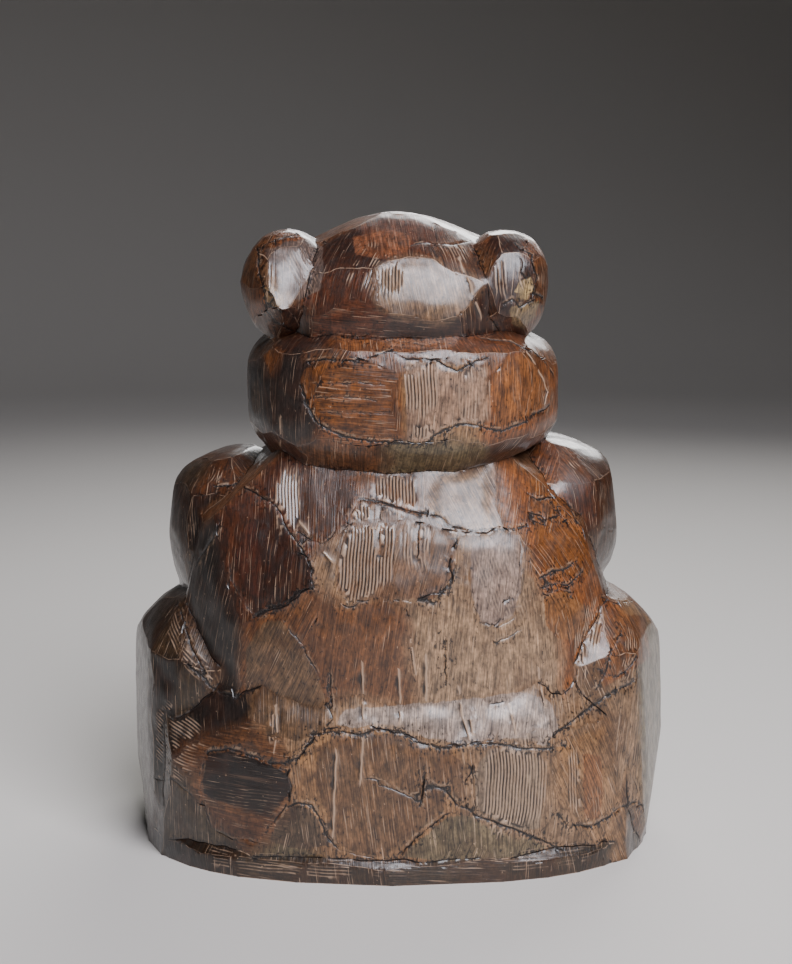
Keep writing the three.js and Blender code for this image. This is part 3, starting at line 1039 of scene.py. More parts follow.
def draw_comb(drawing):
    """A stroke is rows of points half a furrow apart, alternately low and high."""
    for number, (place, half_width, half_length, lean, depth) in enumerate(
        strokes.get(drawing.facet, ())
    ):
        centre = drawing.to_flat(place)
        run = np.array((-math.sin(lean), math.cos(lean)))
        side = np.array((math.cos(lean), math.sin(lean)))
        seed = drawing.facet * 3.7 + number
        bend = 1.4 * math.sin(seed)
        rows = int(half_width / (PITCH / 2))
        for row in range(-rows, rows + 1):
            share = row / max(rows, 1)
            reach = 1.2 * half_length * (1 - 0.4 * abs(share) ** 2.5)
            reach *= 1 + 0.22 * wander((row * 1.7, seed, 0), 1.3, 6)
            shift = half_length * 0.25 * wander((row * 0.4, seed, 3), 2.0, 7)
            count = max(2, round(2 * reach / COMB_STEP))
            t = np.linspace(-reach, reach, count + 1) + shift
            sway = bend * (t / max(half_length, 1)) ** 2 + 0.18 * np.sin(t / 3.1 + seed)
            spots = centre + np.outer(row * PITCH / 2 + sway, side) + np.outer(t, run)
            fits = drawing.free(spots, COMB_FROM_BORDER)
            fits &= clear_of_cracks(drawing, spots, COMB_FROM_CRACK)
            fits &= np.array([not near_comb(drawing, spot) for spot in spots])
            low = row % 2 == 0
            marks = []
            for i in range(len(spots)):
                fade = float(smooth(min(t[i] - t[0], t[-1] - t[i]), -0.6, FADES_OVER))
                fade *= float(smooth(1.08 - abs(share), 0, 0.2)) * depth
                fade *= 0.8 + 0.35 * wander((row * 0.9, t[i] / 7, seed), 1.1, 9)
                height = (FURROW_SHARE if low else RIDGE_SHARE) * FURROW * fade
                # a ridge's bright value paints it pale as a painted highlight, and a furrow's dark value
                # pools stain in it
                marks.append((height, 0.62 * min(fade, 1) if low else 0.0, 0.0 if low else 0.8 * fade))
            drawing.add_row(spots, marks, fits)
        drawing.combs.append((centre, side, run, half_width, half_length))


# %% [markdown]
# ## Fill the rest
# Between the marks the facet only needs enough points to ripple. A loose hexagonal grid gives
# even triangles, and shaking it keeps rows of them from showing.

# %% Grid
UNDER_GRID = 12.0  # millimetres between points under the base
ROW_HEIGHT = 0.866  # of a hexagonal grid, as a share of its step


def draw_grid(drawing):
    """Spreads points over what the marks left free."""
    step = BACK_GRID if is_back(drawing.facet) else FRONT_GRID
    if is_under(drawing.facet):
        step = UNDER_GRID
    jolt = 0.22 * step
    low = np.minimum(drawing.starts.min(axis=0), drawing.ends.min(axis=0))
    high = np.maximum(drawing.starts.max(axis=0), drawing.ends.max(axis=0))
    made = []
    for j, y in enumerate(np.arange(low[1], high[1], step * ROW_HEIGHT)):
        for x in np.arange(low[0] + (j % 2) * step / 2, high[0], step):
            made.append((
                x + jolt * wander((x, y, drawing.facet), 1.3, 11),
                y + jolt * wander((x, y, drawing.facet), 1.3, 12),
            ))
    if not made:
        return
    spots = np.array(made)
    spots = spots[drawing.free(spots, GROOVE_REACH + step * 0.35)]
    kept = drawing.flat[len(drawing.shared):]
    for i in thin_out(spots, kept, step * 0.62):
        drawing.add(spots[i])


# %% [markdown]
# ## Raise the surface
# No stroke is quite flat. Each facet crowns a little, ripples where the blade chattered, and
# lifts into a small burr beside its cracks. Near the border the surface follows the border's own
# wandering, so that both facets meet.

# %% From flat to relief
FOLLOWS_BORDER = 5.0  # millimetres from a border over which the surface follows it
CROWN, MOST_CROWN = 0.07, 1.1  # as a share of the facet's width, and in millimetres
RIPPLE = 0.22  # millimetres
edge_distance = [0.0] * border_points
scarred = list(grooved)  # how near each point is to a tear, from 0 to 1
tone_mix = {}  # for each point the facets whose stain it shows, with their shares


def raise_surface(drawing):
    """Adds the facet's own points to the bear, and returns each drawn point's number."""
    facet = drawing.facet
    normal = facet_normal[facet]
    numbers = list(drawing.shared)
    for point in numbers:
        tone_mix.setdefault(point, []).append((facet, 1.0))
    own = range(len(drawing.shared), len(drawing.flat))
    if len(own) == 0:
        return numbers
    spots = np.array([drawing.flat[i] for i in own])
    far, share = distances(spots, drawing.starts, drawing.ends)
    nearest = far.argmin(axis=1)
    gap = far[np.arange(len(spots)), nearest]
    along = share[np.arange(len(spots)), nearest]
    off_plane = [(points[p] - drawing.origin) @ normal for p in drawing.shared]
    inner = facet_inner[facet]
    crown = min(MOST_CROWN, inner * CROWN)
    for k, i in enumerate(own):
        a, b = drawing.edges[nearest[k]]
        off = off_plane[a] * (1 - along[k]) + off_plane[b] * along[k]
        tear = drawing.dark[a] * (1 - along[k]) + drawing.dark[b] * along[k]
        place = drawing.origin + drawing.sideways * spots[k][0] + drawing.upwards * spots[k][1]
        place = place + normal * off * float(smooth(FOLLOWS_BORDER - gap[k], 0, FOLLOWS_BORDER))
        height = drawing.height[i]
        if not is_under(facet):
            from_middle = float(spots[k] @ spots[k])
            bulge = max(1 - from_middle / (1.35 * inner) ** 2, -0.5)
            height += crown * bulge * float(smooth(gap[k], 0.3, 7))
            height += RIPPLE * wander(place, 8.5, 13) * float(smooth(gap[k], 0.3, 3))
            height += 0.06 * wander(place, 2.4, 14)
            height += 0.12 * tear * float(smooth(2.2 - gap[k], 0, 1.6))
        numbers.append(add_point(place, height, drawing.dark[i], drawing.bright[i]))
        edge_distance.append(float(gap[k]))
        scarred.append(float(tear * smooth(FOLLOWS_BORDER - gap[k], 0, FOLLOWS_BORDER)))
        width = 1.5 + 6.0 * (0.5 + 0.5 * wander(place, 15, 16)) * (1 - tear)
        neighbour = 0.5 * float(smooth(width - gap[k], 0, width))
        tone_mix[numbers[-1]] = [(facet, 1 - neighbour), (drawing.beyond[nearest[k]], neighbour)]
    return numbers


# %% [markdown]
# ## Triangles that keep to the marks
# Blender's own constrained Delaunay triangulation joins the points and keeps every given edge.
# Then only the triangles inside the outline are wanted: they are found by walking inwards from it.

# %% Triangulate
SAME_SPOT = 1e-7  # millimetres


def triangulate(drawing, edges):
    """The triangles inside the outline, or None where a line crosses another one."""
    flat = [Vector(p) for p in drawing.flat]
    _, _, faces, origins, _, _ = geometry.delaunay_2d_cdt(flat, edges, [], 0, SAME_SPOT, True)
    if len(origins) != len(flat) or any(len(origin) != 1 for origin in origins):
        return None
    source = [origin[0] for origin in origins]
    faces = [[source[v] for v in face] for face in faces]
    outline = set(drawing.edges[: drawing.outline_size])
    by_edge = {(f[i], f[(i + 1) % 3]): n for n, f in enumerate(faces) for i in range(3)}
    reached = {by_edge[edge] for edge in outline if edge in by_edge}
    outside = {by_edge[(b, a)] for a, b in outline if (b, a) in by_edge}
    queue = list(reached)
    while queue:
        f = faces[queue.pop()]
        for i in range(3):
            edge = (f[i], f[(i + 1) % 3])
            other = by_edge.get((edge[1], edge[0]))
            if edge not in outline and other is not None and other not in reached:
                reached.add(other)
                queue.append(other)
    if any(edge not in by_edge for edge in outline) or reached & outside:
        return None
    return [faces[n] for n in sorted(reached)]


def fan(drawing):
    """Closes a sliver that is too thin to triangulate."""
    onward = dict(drawing.edges[: drawing.outline_size])
    first = next(iter(onward))
    loop = [first]
    while onward[loop[-1]] != first and len(loop) < len(onward):
        loop.append(onward[loop[-1]])
    return [[first, a, b] for a, b in zip(loop[1:], loop[2:])]


# %% [markdown]
# ## Mesh every facet
# Slivers take no marks. Where a facet's wandering borders cross each other it can't be meshed, so
# its borders are straightened first, and that is repeated, because neighbours share them.

# %% Mesh the bear
SLIVER = 0.7  # millimetres of width
ROOM_FOR_MARKS = 30  # square millimetres
mesh_triangles = []
triangle_facet = []


def mesh_facet(facet):
    """Returns 0 where all the marks went in, and more where some had to be left out."""
    drawing = Drawing(facet)
    if facet_inner[facet] > SLIVER:
        draw_rows_beside_outline(drawing)
    if facet_area[facet] > ROOM_FOR_MARKS:
        draw_cracks(drawing)
        draw_comb(drawing)
        draw_grid(drawing)
    left_out = 0
    made = triangulate(drawing, drawing.edges)
    if made is None:
        left_out = 1
        made = triangulate(drawing, drawing.edges[: drawing.outline_size])
    if made is None:
        left_out = 2
        drawing = Drawing(facet)
        made = triangulate(drawing, drawing.edges) or fan(drawing)
    numbers = raise_surface(drawing)
    for face in made:
        mesh_triangles.append([numbers[v] for v in face])
        triangle_facet.append(facet)
    return left_out


def straighten(facet):
    """Takes the wandering out of a facet's borders, where it makes them cross."""
    for row, _ in outlines[facet]:
        start, end = points[row[0]], points[row[-1]]
        for i, point in enumerate(row[1:-1], 1):
            points[point] = start + (end - start) * (i / (len(row) - 1))


for _ in range(4):
    crossing = [f for f in outlines if triangulate(Drawing(f), Drawing(f).edges) is None]
    for facet in crossing:
        straighten(facet)
    print("facets with crossing borders:", len(crossing))
left_out = [mesh_facet(facet) for facet in sorted(outlines)]
print(len(points), "points and", len(mesh_triangles), "triangles")
print("facets with untied marks:", left_out.count(1), "and without marks:", left_out.count(2))


# %% [markdown]
# ## Is the skin closed?
# In a closed skin every edge is used once in each direction. Counting them proves it.

# %% Is the skin closed?
def count_open_edges():
    """How many edges have no partner, and how many are used twice the same way."""
    used = {}
    for triangle in mesh_triangles:
        for i in range(3):
            edge = (triangle[i], triangle[(i + 1) % 3])
            used[edge] = used.get(edge, 0) + 1
    open_edges = sum(1 for (a, b) in used if (b, a) not in used)
    doubled = sum(1 for n in used.values() if n > 1)
    return open_edges, doubled


print("open edges and doubled edges:", count_open_edges())

# %% [markdown]
# ## Stain, facet by facet
# The stain took differently on every stroke: near black-brown where it pooled, orange where the
# rag wiped it thin, and greenish tan near the ground. Most facets draw their tone from a few
# mixes by height. The facets of the back that stand out are listed with theirs.

# %% Tones
TONES = {
    "dark walnut": "#301a11",
    "red brown": "#4e2a1a",
    "chestnut": "#664025",
    "orange": "#7c4824",
    "honey": "#84603f",
    "tan": "#826449",
    "olive": "#67583e",
    # plum is dark stain deepened with painted shade, given only to facets of the left side
    "plum with painted shade": "#30241f",
    "pale tan": "#957659",
}
BACK_TONES = [
    (13, 270, "tan"), (-26, 266, "red brown"), (-10, 250, "red brown"), (34, 248, "dark walnut"),
    (4, 290, "red brown"), (-50, 272, "tan"), (60, 270, "dark walnut"), (-24, 284, "dark walnut"),
    (-20, 217, "orange"), (18, 217, "honey"), (52, 217, "orange"), (-46, 217, "plum with painted shade"),
    (-62, 217, "plum with painted shade"), (68, 217, "orange"), (-20, 240, "red brown"), (30, 240, "chestnut"),
    (0, 192, "olive"), (-42, 166, "red brown"), (-4, 175, "chestnut"), (38, 173, "tan"),
    (71, 161, "orange"), (-60, 142, "red brown"), (-3, 147, "tan"), (43, 140, "tan"),
    (78, 140, "orange"), (-84, 112, "plum with painted shade"), (-45, 104, "chestnut"), (-14, 104, "chestnut"),
    (24, 106, "pale tan"), (60, 106, "pale tan"), (90, 110, "orange"), (-42, 78, "tan"),
    (0, 78, "pale tan"), (40, 75, "pale tan"), (75, 75, "tan"), (-66, 41, "chestnut"),
    (-9, 43, "honey"), (54, 47, "tan"), (92, 40, "honey"), (106, 70, "tan"),
    (-105, 67, "plum with painted shade"), (-110, 40, "plum with painted shade"), (110, 100, "orange"), (30, 14, "olive"),
    (-40, 14, "olive"), (91, 167, "red brown"), (-96, 157, "plum with painted shade"), (60, 20, "tan"),
]


print(len(TONES), "tones and", len(BACK_TONES), "facets that are given one")

# %% [markdown]
# ## Give every facet its tone
# Two tones of a mix are blended by chance for each facet, and the named ones are set after that.
# The left side and the foot of the base are then darkened as painted shade, and the right arm is darkened
# too.

# %% Tone of each facet
MIXES = (  # from how far up a mix is used, in millimetres, and its tones
    (180, ("red brown", "chestnut", "orange", "dark walnut", "chestnut")),
    (90, ("chestnut", "orange", "honey", "tan", "red brown")),
    (-1, ("honey", "tan", "olive", "chestnut", "tan")),
)


def facet_tones():
    """The linear colour of each facet's stain, with painted shade on the left side and at the foot."""
    tones = np.zeros((facet_count, 3))
    picks = np.random.default_rng(21)
    for facet in range(facet_count):
        mix = next(mix for low, mix in MIXES if facet_centre[facet][2] > low)
        first, second = picks.integers(0, len(mix), 2)
        share = picks.uniform(0.2, 0.8)
        tones[facet] = (1 - share) * np.array(linear(TONES[mix[first]])[:3])
        tones[facet] += share * np.array(linear(TONES[mix[second]])[:3])
    for x, z, name in BACK_TONES:
        tones[point_at(x, z)[1]] = linear(TONES[name])[:3]
    x, z = facet_centre[:, 0], facet_centre[:, 2]
    darkening_and_painted_shade = 1 - 0.8 * smooth(-x, 56, 104)  # painted shade: the left side is darkened much
    darkening_and_painted_shade *= 1 - 0.8 * smooth(19 - z, 0, 9)  # and painted shade darkens the foot of the base
    darkening_and_painted_shade *= 1 - 0.7 * smooth(x, 84, 96) * smooth(z, 120, 135)  # and the right arm is darker
    return tones * darkening_and_painted_shade[:, None]


tones = facet_tones()
print("mean tone", np.round(tones.mean(axis=0), 3))

# %% [markdown]
# ## Polished black parts
# The eyes and the pad of the nose are polished and stained black, as a maker gives an animal's
# face its life. They are small, so the facets near a place are simply taken.

# %% Polished parts
POLISHED = {  # places (x, y, z) of the parts that are polished black, and how far they reach
    "left eye": ((-25, 61, 266), 6.8),
    "right eye": ((25, 61, 266), 6.8),
    "nose pad": ((0, 92, 251), 13.5),
}
POLISHED_TONE = "#0c0706"
polished = np.zeros(facet_count)
for place, reach in POLISHED.values():
    polished[np.linalg.norm(facet_centre - np.array(place), axis=1) < reach] = 1.0
tones[polished > 0] = linear(POLISHED_TONE)[:3]
print(int(polished.sum()), "polished facets")

# %% [markdown]
# ## Patches with a clear rim
# On the back some patches of stain, and some of painted sheen and glare, end in a clear rim that doesn't
# follow a facet all the way.
# Each is named with the pixels of its outline. Every point of the skin then learns how far it is
# from the rim, so that the material can draw the rim sharper than the mesh is.

# %% Patches above
PATCHES = {  # the tone, and the pixels of the outline
    "neck, orange": ("#6c3f1e", (
        (300, 383), (305, 368), (329, 362), (355, 361), (389, 352), (404, 362), (407, 400), (406, 443),
        (372, 440), (342, 436), (318, 423), (307, 403))),
    # the neck comb's pale grey is partly painted sheen
    "neck, comb with painted sheen": ("#94735b", (
        (405, 361), (433, 362), (457, 373), (477, 364), (492, 366), (494, 426), (463, 422), (443, 428),
        (424, 444), (407, 440))),
    "neck, right": ("#86532e", (
        (493, 366), (525, 352), (541, 372), (547, 402), (527, 419), (504, 428), (494, 426))),
    "shoulder, dark": ("#331a10", (
        (275, 506), (288, 529), (298, 543), (312, 569), (313, 585), (288, 602), (256, 615), (240, 596),
        (229, 560), (240, 528), (256, 508))),
    "shoulder, rust": ("#45241a", ((236, 560), (243, 528), (255, 520), (262, 560), (262, 600), (246, 590))),
    "back, round": ("#6c4e38", (
        (359, 502), (382, 506), (406, 513), (426, 515), (440, 519), (452, 530), (457, 556), (452, 578),
        (433, 601), (409, 600), (376, 599), (349, 599), (335, 590), (338, 560), (345, 528))),
    "back, upper left": ("#44240f", (
        (296, 470), (320, 464), (352, 466), (358, 490), (352, 510), (336, 530), (323, 542), (300, 536),
        (296, 505))),
    # this grey patch is brown stain with painted sheen over it
    "back, grey painted sheen": ("#8f7768", (
        (470, 545), (490, 536), (520, 534), (522, 560), (521, 592), (513, 615), (497, 626), (481, 621),
        (471, 596))),
    "back, right orange": ("#754520", (
        (528, 480), (545, 470), (560, 490), (578, 522), (596, 556), (590, 575), (560, 577), (541, 568),
        (532, 530))),
    "middle, olive": ("#5f4630", (
        (262, 622), (284, 620), (302, 645), (318, 674), (327, 700), (326, 730), (300, 742), (268, 735),
        (246, 700), (246, 650))),
    "middle, right orange": ("#7f5330", (
        (543, 596), (566, 590), (584, 606), (588, 640), (560, 640), (545, 625))),
}
print(len(PATCHES), "patches on neck and back")

# %% [markdown]
# ## Patches of hips, haunch and head
# The hips show the clearest ones: a near black patch beside tan, olive and combed ones, and the combed one is
# partly painted sheen. The waist has a patch of painted glare.

# %% Patches below and on the head
PATCHES |= {
    # the pale waist band is painted glare
    "waist, painted glare": ("#a08b7c", (
        (334, 722), (346, 708), (400, 705), (470, 699), (520, 691), (550, 700), (560, 730), (544, 746),
        (511, 742), (453, 745), (416, 738), (399, 730), (376, 727), (342, 729))),
    "hips, dark": ("#150805", (
        (207, 755), (231, 751), (255, 758), (272, 765), (288, 774), (291, 787), (284, 806), (272, 822),
        (240, 812), (203, 800), (203, 781))),
    "hips, rust": ("#50301c", ((204, 804), (240, 815), (271, 824), (261, 840), (234, 837), (213, 828))),
    "hips, tan": ("#6a4c33", (
        (318, 745), (342, 735), (356, 738), (376, 733), (399, 736), (416, 744), (433, 750), (452, 752),
        (462, 764), (466, 800), (444, 792), (448, 812), (423, 831), (398, 852), (379, 858), (340, 846),
        (328, 826), (322, 800), (314, 776))),
    "hips, olive left": ("#4c3a2a", (
        (289, 808), (300, 805), (311, 808), (319, 820), (326, 838), (331, 845), (300, 850), (268, 842),
        (277, 822))),
    "hips, olive": ("#66563e", (
        (450, 815), (477, 818), (500, 827), (524, 836), (548, 847), (520, 857), (440, 862), (400, 856),
        (423, 836))),
    # the combed patch of the hips is partly painted sheen
    "hips, comb with painted sheen": ("#826c57", (
        (478, 764), (490, 748), (524, 747), (539, 758), (542, 788), (540, 829), (518, 830), (498, 822),
        (477, 808), (474, 781))),
    "hip, right column": ("#7b4f2e", (
        (582, 752), (600, 756), (602, 790), (600, 820), (583, 818), (581, 785))),
    "haunch, right": ("#6f4527", ((596, 628), (618, 612), (646, 618), (650, 656), (628, 676), (602, 688))),
    "ear, left back": ("#5f4c42", ((264, 248), (302, 238), (324, 246), (322, 290), (300, 300), (272, 292))),
    "ear, left chips": ("#a07d52", ((262, 288), (272, 286), (282, 294), (284, 304), (274, 308), (265, 302))),
    "ear, right tan": ("#a78a5c", ((518, 282), (531, 276), (536, 290), (530, 302), (518, 304), (512, 296))),
    "ear, right foot": ("#7c6648", ((510, 306), (530, 303), (541, 300), (536, 318), (524, 330), (511, 324))),
    "crown, orange": ("#74442a", ((352, 236), (392, 230), (412, 238), (410, 252), (384, 258), (356, 256))),
}
print(len(PATCHES), "patches")

# %% [markdown]
# ## What each point knows of patches and cracks
# Two colours are kept at each point near a rim: the one under the patch and the patch itself, which on a few
# patches is painted sheen and glare. The distance from the rim chooses between them in the material. Cracks
# do the same with their line.

# %% Distances from rims and cracks
RIM = 4.0  # millimetres either side of a rim in which points keep their distance from it
MARGIN = 12  # pixels around a patch in which points are looked at
CHIPS_REACH = 6  # millimetres from a crack in which dark chips lie


def shade_patches(places):
    """The colour under and in the nearest patch at each point, and how far inside its rim it is."""
    below = np.zeros((len(points), 3))
    seen = np.zeros(len(points), bool)
    for point, shares in tone_mix.items():
        total = sum(share for _, share in shares)
        below[point] = sum(tones[facet] * share for facet, share in shares) / total
        seen[point] = all(
            facet_normal[facet] @ (eye_place - facet_centre[facet]) > 0 for facet, _ in shares)
    above = below.copy()
    inward = np.full(len(points), -RIM)
    pixels = pixels_of(places)
    pixel_size = np.linalg.norm(places - eye_place, axis=1) / PIXELS_PER_SLOPE
    for tone, outline in PATCHES.values():
        rim = np.array(outline, float)
        low, high = rim.min(axis=0) - MARGIN, rim.max(axis=0) + MARGIN
        near = np.flatnonzero(seen & (pixels > low).all(axis=1) & (pixels < high).all(axis=1))
        starts, ends = rim, np.roll(rim, -1, axis=0)
        gap = distances(pixels[near], starts, ends)[0].min(axis=1) * pixel_size[near]
        gap = np.where(inside(pixels[near], starts, ends), gap, -gap)
        near, gap = near[gap > -RIM], np.minimum(gap[gap > -RIM], RIM)
        colour = np.array(linear(tone)[:3])
        reach = smooth(gap, -RIM, -RIM * 0.5)[:, None]
        above[near] = below[near] * (1 - reach) + colour * reach
        deep = smooth(gap, RIM * 0.2, RIM * 0.9)[:, None]
        below[near] = below[near] * (1 - deep) + colour * deep
        inward[near] = gap
    return below, above, inward


def read_cracks(places):
    """How many widths beside the nearest crack each point is, and how dark that crack is."""
    aside = np.zeros(len(places))
    darkness = np.zeros(len(places))
    for i, place in enumerate(places):
        foot, index, far = crack_tree.find(place)
        crack = crack_kinds[index]
        aside[i] = (place - np.array(foot)) @ crack_sides[index] / crack.width
        darkness[i] = crack.dark * max(0.0, min(1.0, (1.9 - far) / 1.1))
        chips = crack.dark * min(1.0, max(crack.depth, 0) / 0.6)
        scarred[i] = max(scarred[i], chips * max(0.0, 1 - far / CHIPS_REACH))
    return aside, darkness


# %% [markdown]
# ## The way the brush went
# Each facet's stain was brushed along its own stroke: mostly upright, some across. The streaks
# of the stain need that direction, so each triangle's corners carry it.

# %% Brush directions
BRUSHED_ACROSS = [(-20, 217), (-56, 8), (8, 7), (66, 9), (-66, 36), (0, 250), (-26, 250)]
NEARLY_LEVEL_STROKE = math.radians(86)
UPRIGHT_WITHIN = 13  # degrees
FACETS_APART = 7.3  # millimetres between the facets in the noise, so that none repeats another


def brush_directions():
    """How far each facet's brush strokes lean from upright, in radians."""
    turns = np.radians(np.random.default_rng(33).normal(0, UPRIGHT_WITHIN, facet_count))
    for x, z in BRUSHED_ACROSS:
        turns[point_at(x, z)[1]] = NEARLY_LEVEL_STROKE
    return turns


def brush_places(places):
    """Each triangle corner's place along and across its facet's brush strokes, in metres."""
    turns = brush_directions()
    held = np.array(triangle_facet)
    faces = np.array(mesh_triangles)
    axes = np.zeros((facet_count, 2, 3))
    for facet in set(triangle_facet):
        sideways, upwards = facet_axes(facet)
        c, s = math.cos(turns[facet]), math.sin(turns[facet])
        axes[facet] = (c * sideways + s * upwards, c * upwards - s * sideways)
    rel = places[faces]
    across = np.einsum("tcx,tx->tc", rel, axes[held, 0])
    along = np.einsum("tcx,tx->tc", rel, axes[held, 1])
    apart = np.repeat((held * FACETS_APART)[:, None], 3, axis=1)
    return np.stack([across, apart, along], axis=2) * MM


# %% [markdown]
# ## Soften the form, then cut the marks
# Wax, rubber mould and lacquer round every edge a little. So the skin is first smoothed: each
# point moves along its normal towards the middle of its neighbours, a few times over, less at
# creases that stay sharp. Only then are furrows and tears cut, so that they stay crisp.

# %% Soften
SOFTENING_ROUNDS = 45
SOFTENING_SIZE = 1.9  # millimetres between neighbours at which one round moves a point fully
SOFTENING_PACE = 0.6  # how far a point goes towards the middle of its neighbours in one round
ON_GROUND = 0.3  # millimetres up to which the rim of the base isn't softened


def point_normals(places, faces):
    """The direction outwards at each point."""
    a, b, c = (places[faces[:, i]] for i in range(3))
    cross = np.cross(b - a, c - a)
    total = np.zeros_like(places)
    for i in range(3):
        for axis in range(3):
            total[:, axis] += np.bincount(faces[:, i], cross[:, axis], len(places))
    return unit(total)


def soften_and_cut():
    """The final place of every point, in millimetres."""
    places = np.array(points)
    faces = np.array(mesh_triangles)
    edges = np.concatenate([faces[:, [0, 1]], faces[:, [1, 2]], faces[:, [2, 0]]])
    length = np.linalg.norm(places[edges[:, 0]] - places[edges[:, 1]], axis=1)
    met = np.bincount(edges[:, 0], minlength=len(places))
    mean_length = np.bincount(edges[:, 0], length, len(places)) / np.maximum(met, 1)
    pace = SOFTENING_PACE * np.minimum(1.0, (SOFTENING_SIZE / np.maximum(mean_length, 0.1)) ** 2)
    pace *= 1 - np.array(crisp)
    pace[places[:, 2] < ON_GROUND] = 0
    weight = 1 / np.maximum(length, 0.2)
    total = np.bincount(edges[:, 0], weight, len(places))
    for _ in range(SOFTENING_ROUNDS):
        middle = np.stack(
            [np.bincount(edges[:, 0], weight * places[edges[:, 1], i], len(places)) for i in range(3)],
            axis=1,
        ) / np.maximum(total, ZERO)[:, None]
        normal = point_normals(places, faces)
        towards = ((middle - places) * normal).sum(axis=1)
        places += normal * (towards * pace)[:, None]
    print("softened by at most", round(float(np.abs(places - np.array(points)).max()), 2), "mm")
    places += point_normals(places, faces) * np.array(relief)[:, None]
    places[:, 2] = np.maximum(places[:, 2], 0)
    return places


# %% [markdown]
# ## Put the skin together
# The points, their colours and what the material has to know about each of them become one mesh,
# shaded smooth apart from the sharp edges of the cracks.

# %% Build the piece
SHARP_FROM = math.radians(40)  # edges that turn more than this are shaded sharp


def build_cast():
    mesh = bpy.data.meshes.new("bear_cast")
    flat_places = np.array(points)
    below, above, inward = shade_patches(flat_places)
    aside, darkness = read_cracks(flat_places)
    shine = np.zeros(len(points))
    for point, shares in tone_mix.items():
        shine[point] = min(polished[facet] for facet, _ in shares)
    places = soften_and_cut()
    mesh.from_pydata((places * MM).tolist(), [], mesh_triangles)
    mesh.shade_smooth()
    mesh.set_sharp_from_angle(angle=SHARP_FROM)
    for name, values in (
        ("grooved", grooved), ("worn", worn), ("border", edge_distance), ("scarred", scarred),
        ("inward", inward), ("aside", aside), ("crack", darkness), ("polished", shine),
    ):
        layer = mesh.attributes.new(name, "FLOAT", "POINT")
        layer.data.foreach_set("value", np.array(values, np.float32))
    # the stain colours hold painted shade on the left side and at the foot, and painted sheen and glare deep
    # inside some patches
    for name, colours in (("stain_with_painted_light", below), ("patch", above)):
        layer = mesh.attributes.new(name, "FLOAT_COLOR", "POINT")
        opaque = np.ones((len(points), 4), np.float32)
        opaque[:, :3] = colours
        layer.data.foreach_set("color", opaque.ravel())
    brushed = mesh.attributes.new("brushed", "FLOAT_VECTOR", "CORNER")
    brushed.data.foreach_set("vector", brush_places(places).astype(np.float32).ravel())
    cast = bpy.data.objects.new("bear_cast", mesh)
    scene.collection.objects.link(cast)
    print("bear_cast has", len(mesh.polygons), "triangles")
    return cast


cast = build_cast()


# %% [markdown]
# ## Stained and lacquered resin
# Cast polyester resin is a hard plastic with an index of refraction of about 1.5. Here it was
# wiped with dark stain and sealed with satin lacquer. That gives the eye broad soft glare on the
# flats, dark lines where stain stayed in the furrows, and pale ridges, partly worn and partly
# painted as highlights.

# %% What the material reads
# What each point of the skin knows, and which output of the attribute node gives it
KNOWN = {
    "grooved": "Fac", "worn": "Fac", "border": "Fac", "scarred": "Fac", "inward": "Fac",
    "aside": "Fac", "crack": "Fac", "polished": "Fac", "stain_with_painted_light": "Color", "patch": "Color",
    "brushed": "Vector",
}

# The noise fields: where each is read, the size of its blobs in millimetres, how many times
# taller than wide they are, and how much detail and twist they have. Hair-fine scratches are
# drawn half a millimetre wide, because finer ones wouldn't show in the render.
FIELDS = {
    "streaks": ("brushed", 1.0, 26, 3.0, 0.3),
    "dry": ("brushed", 9, 2.0, 2.0, 0.5),
    "blotches": ("place", 13, 1.5, 3.0, 0.6),
    "flecks": ("place", 1.2, 1.5, 2.0, 0.0),
    "mottle": ("place", 4.0, 1.6, 5.0, 0.5),
    "fine": ("brushed", 0.6, 12, 3.0, 0.0),
    "scratches": ("brushed", 0.5, 34, 1.0, 0.0),
}

print(len(KNOWN), "things known at each point and", len(FIELDS), "noise fields")

# %% [markdown]
# ## Sums behind the finish
# The stain is one recipe with many small sums, so it is written as a table that is read from top
# to bottom. A word is an earlier result. Words with numbers are a ramp: the result, where the
# ramp starts and ends, and what it goes from and to.

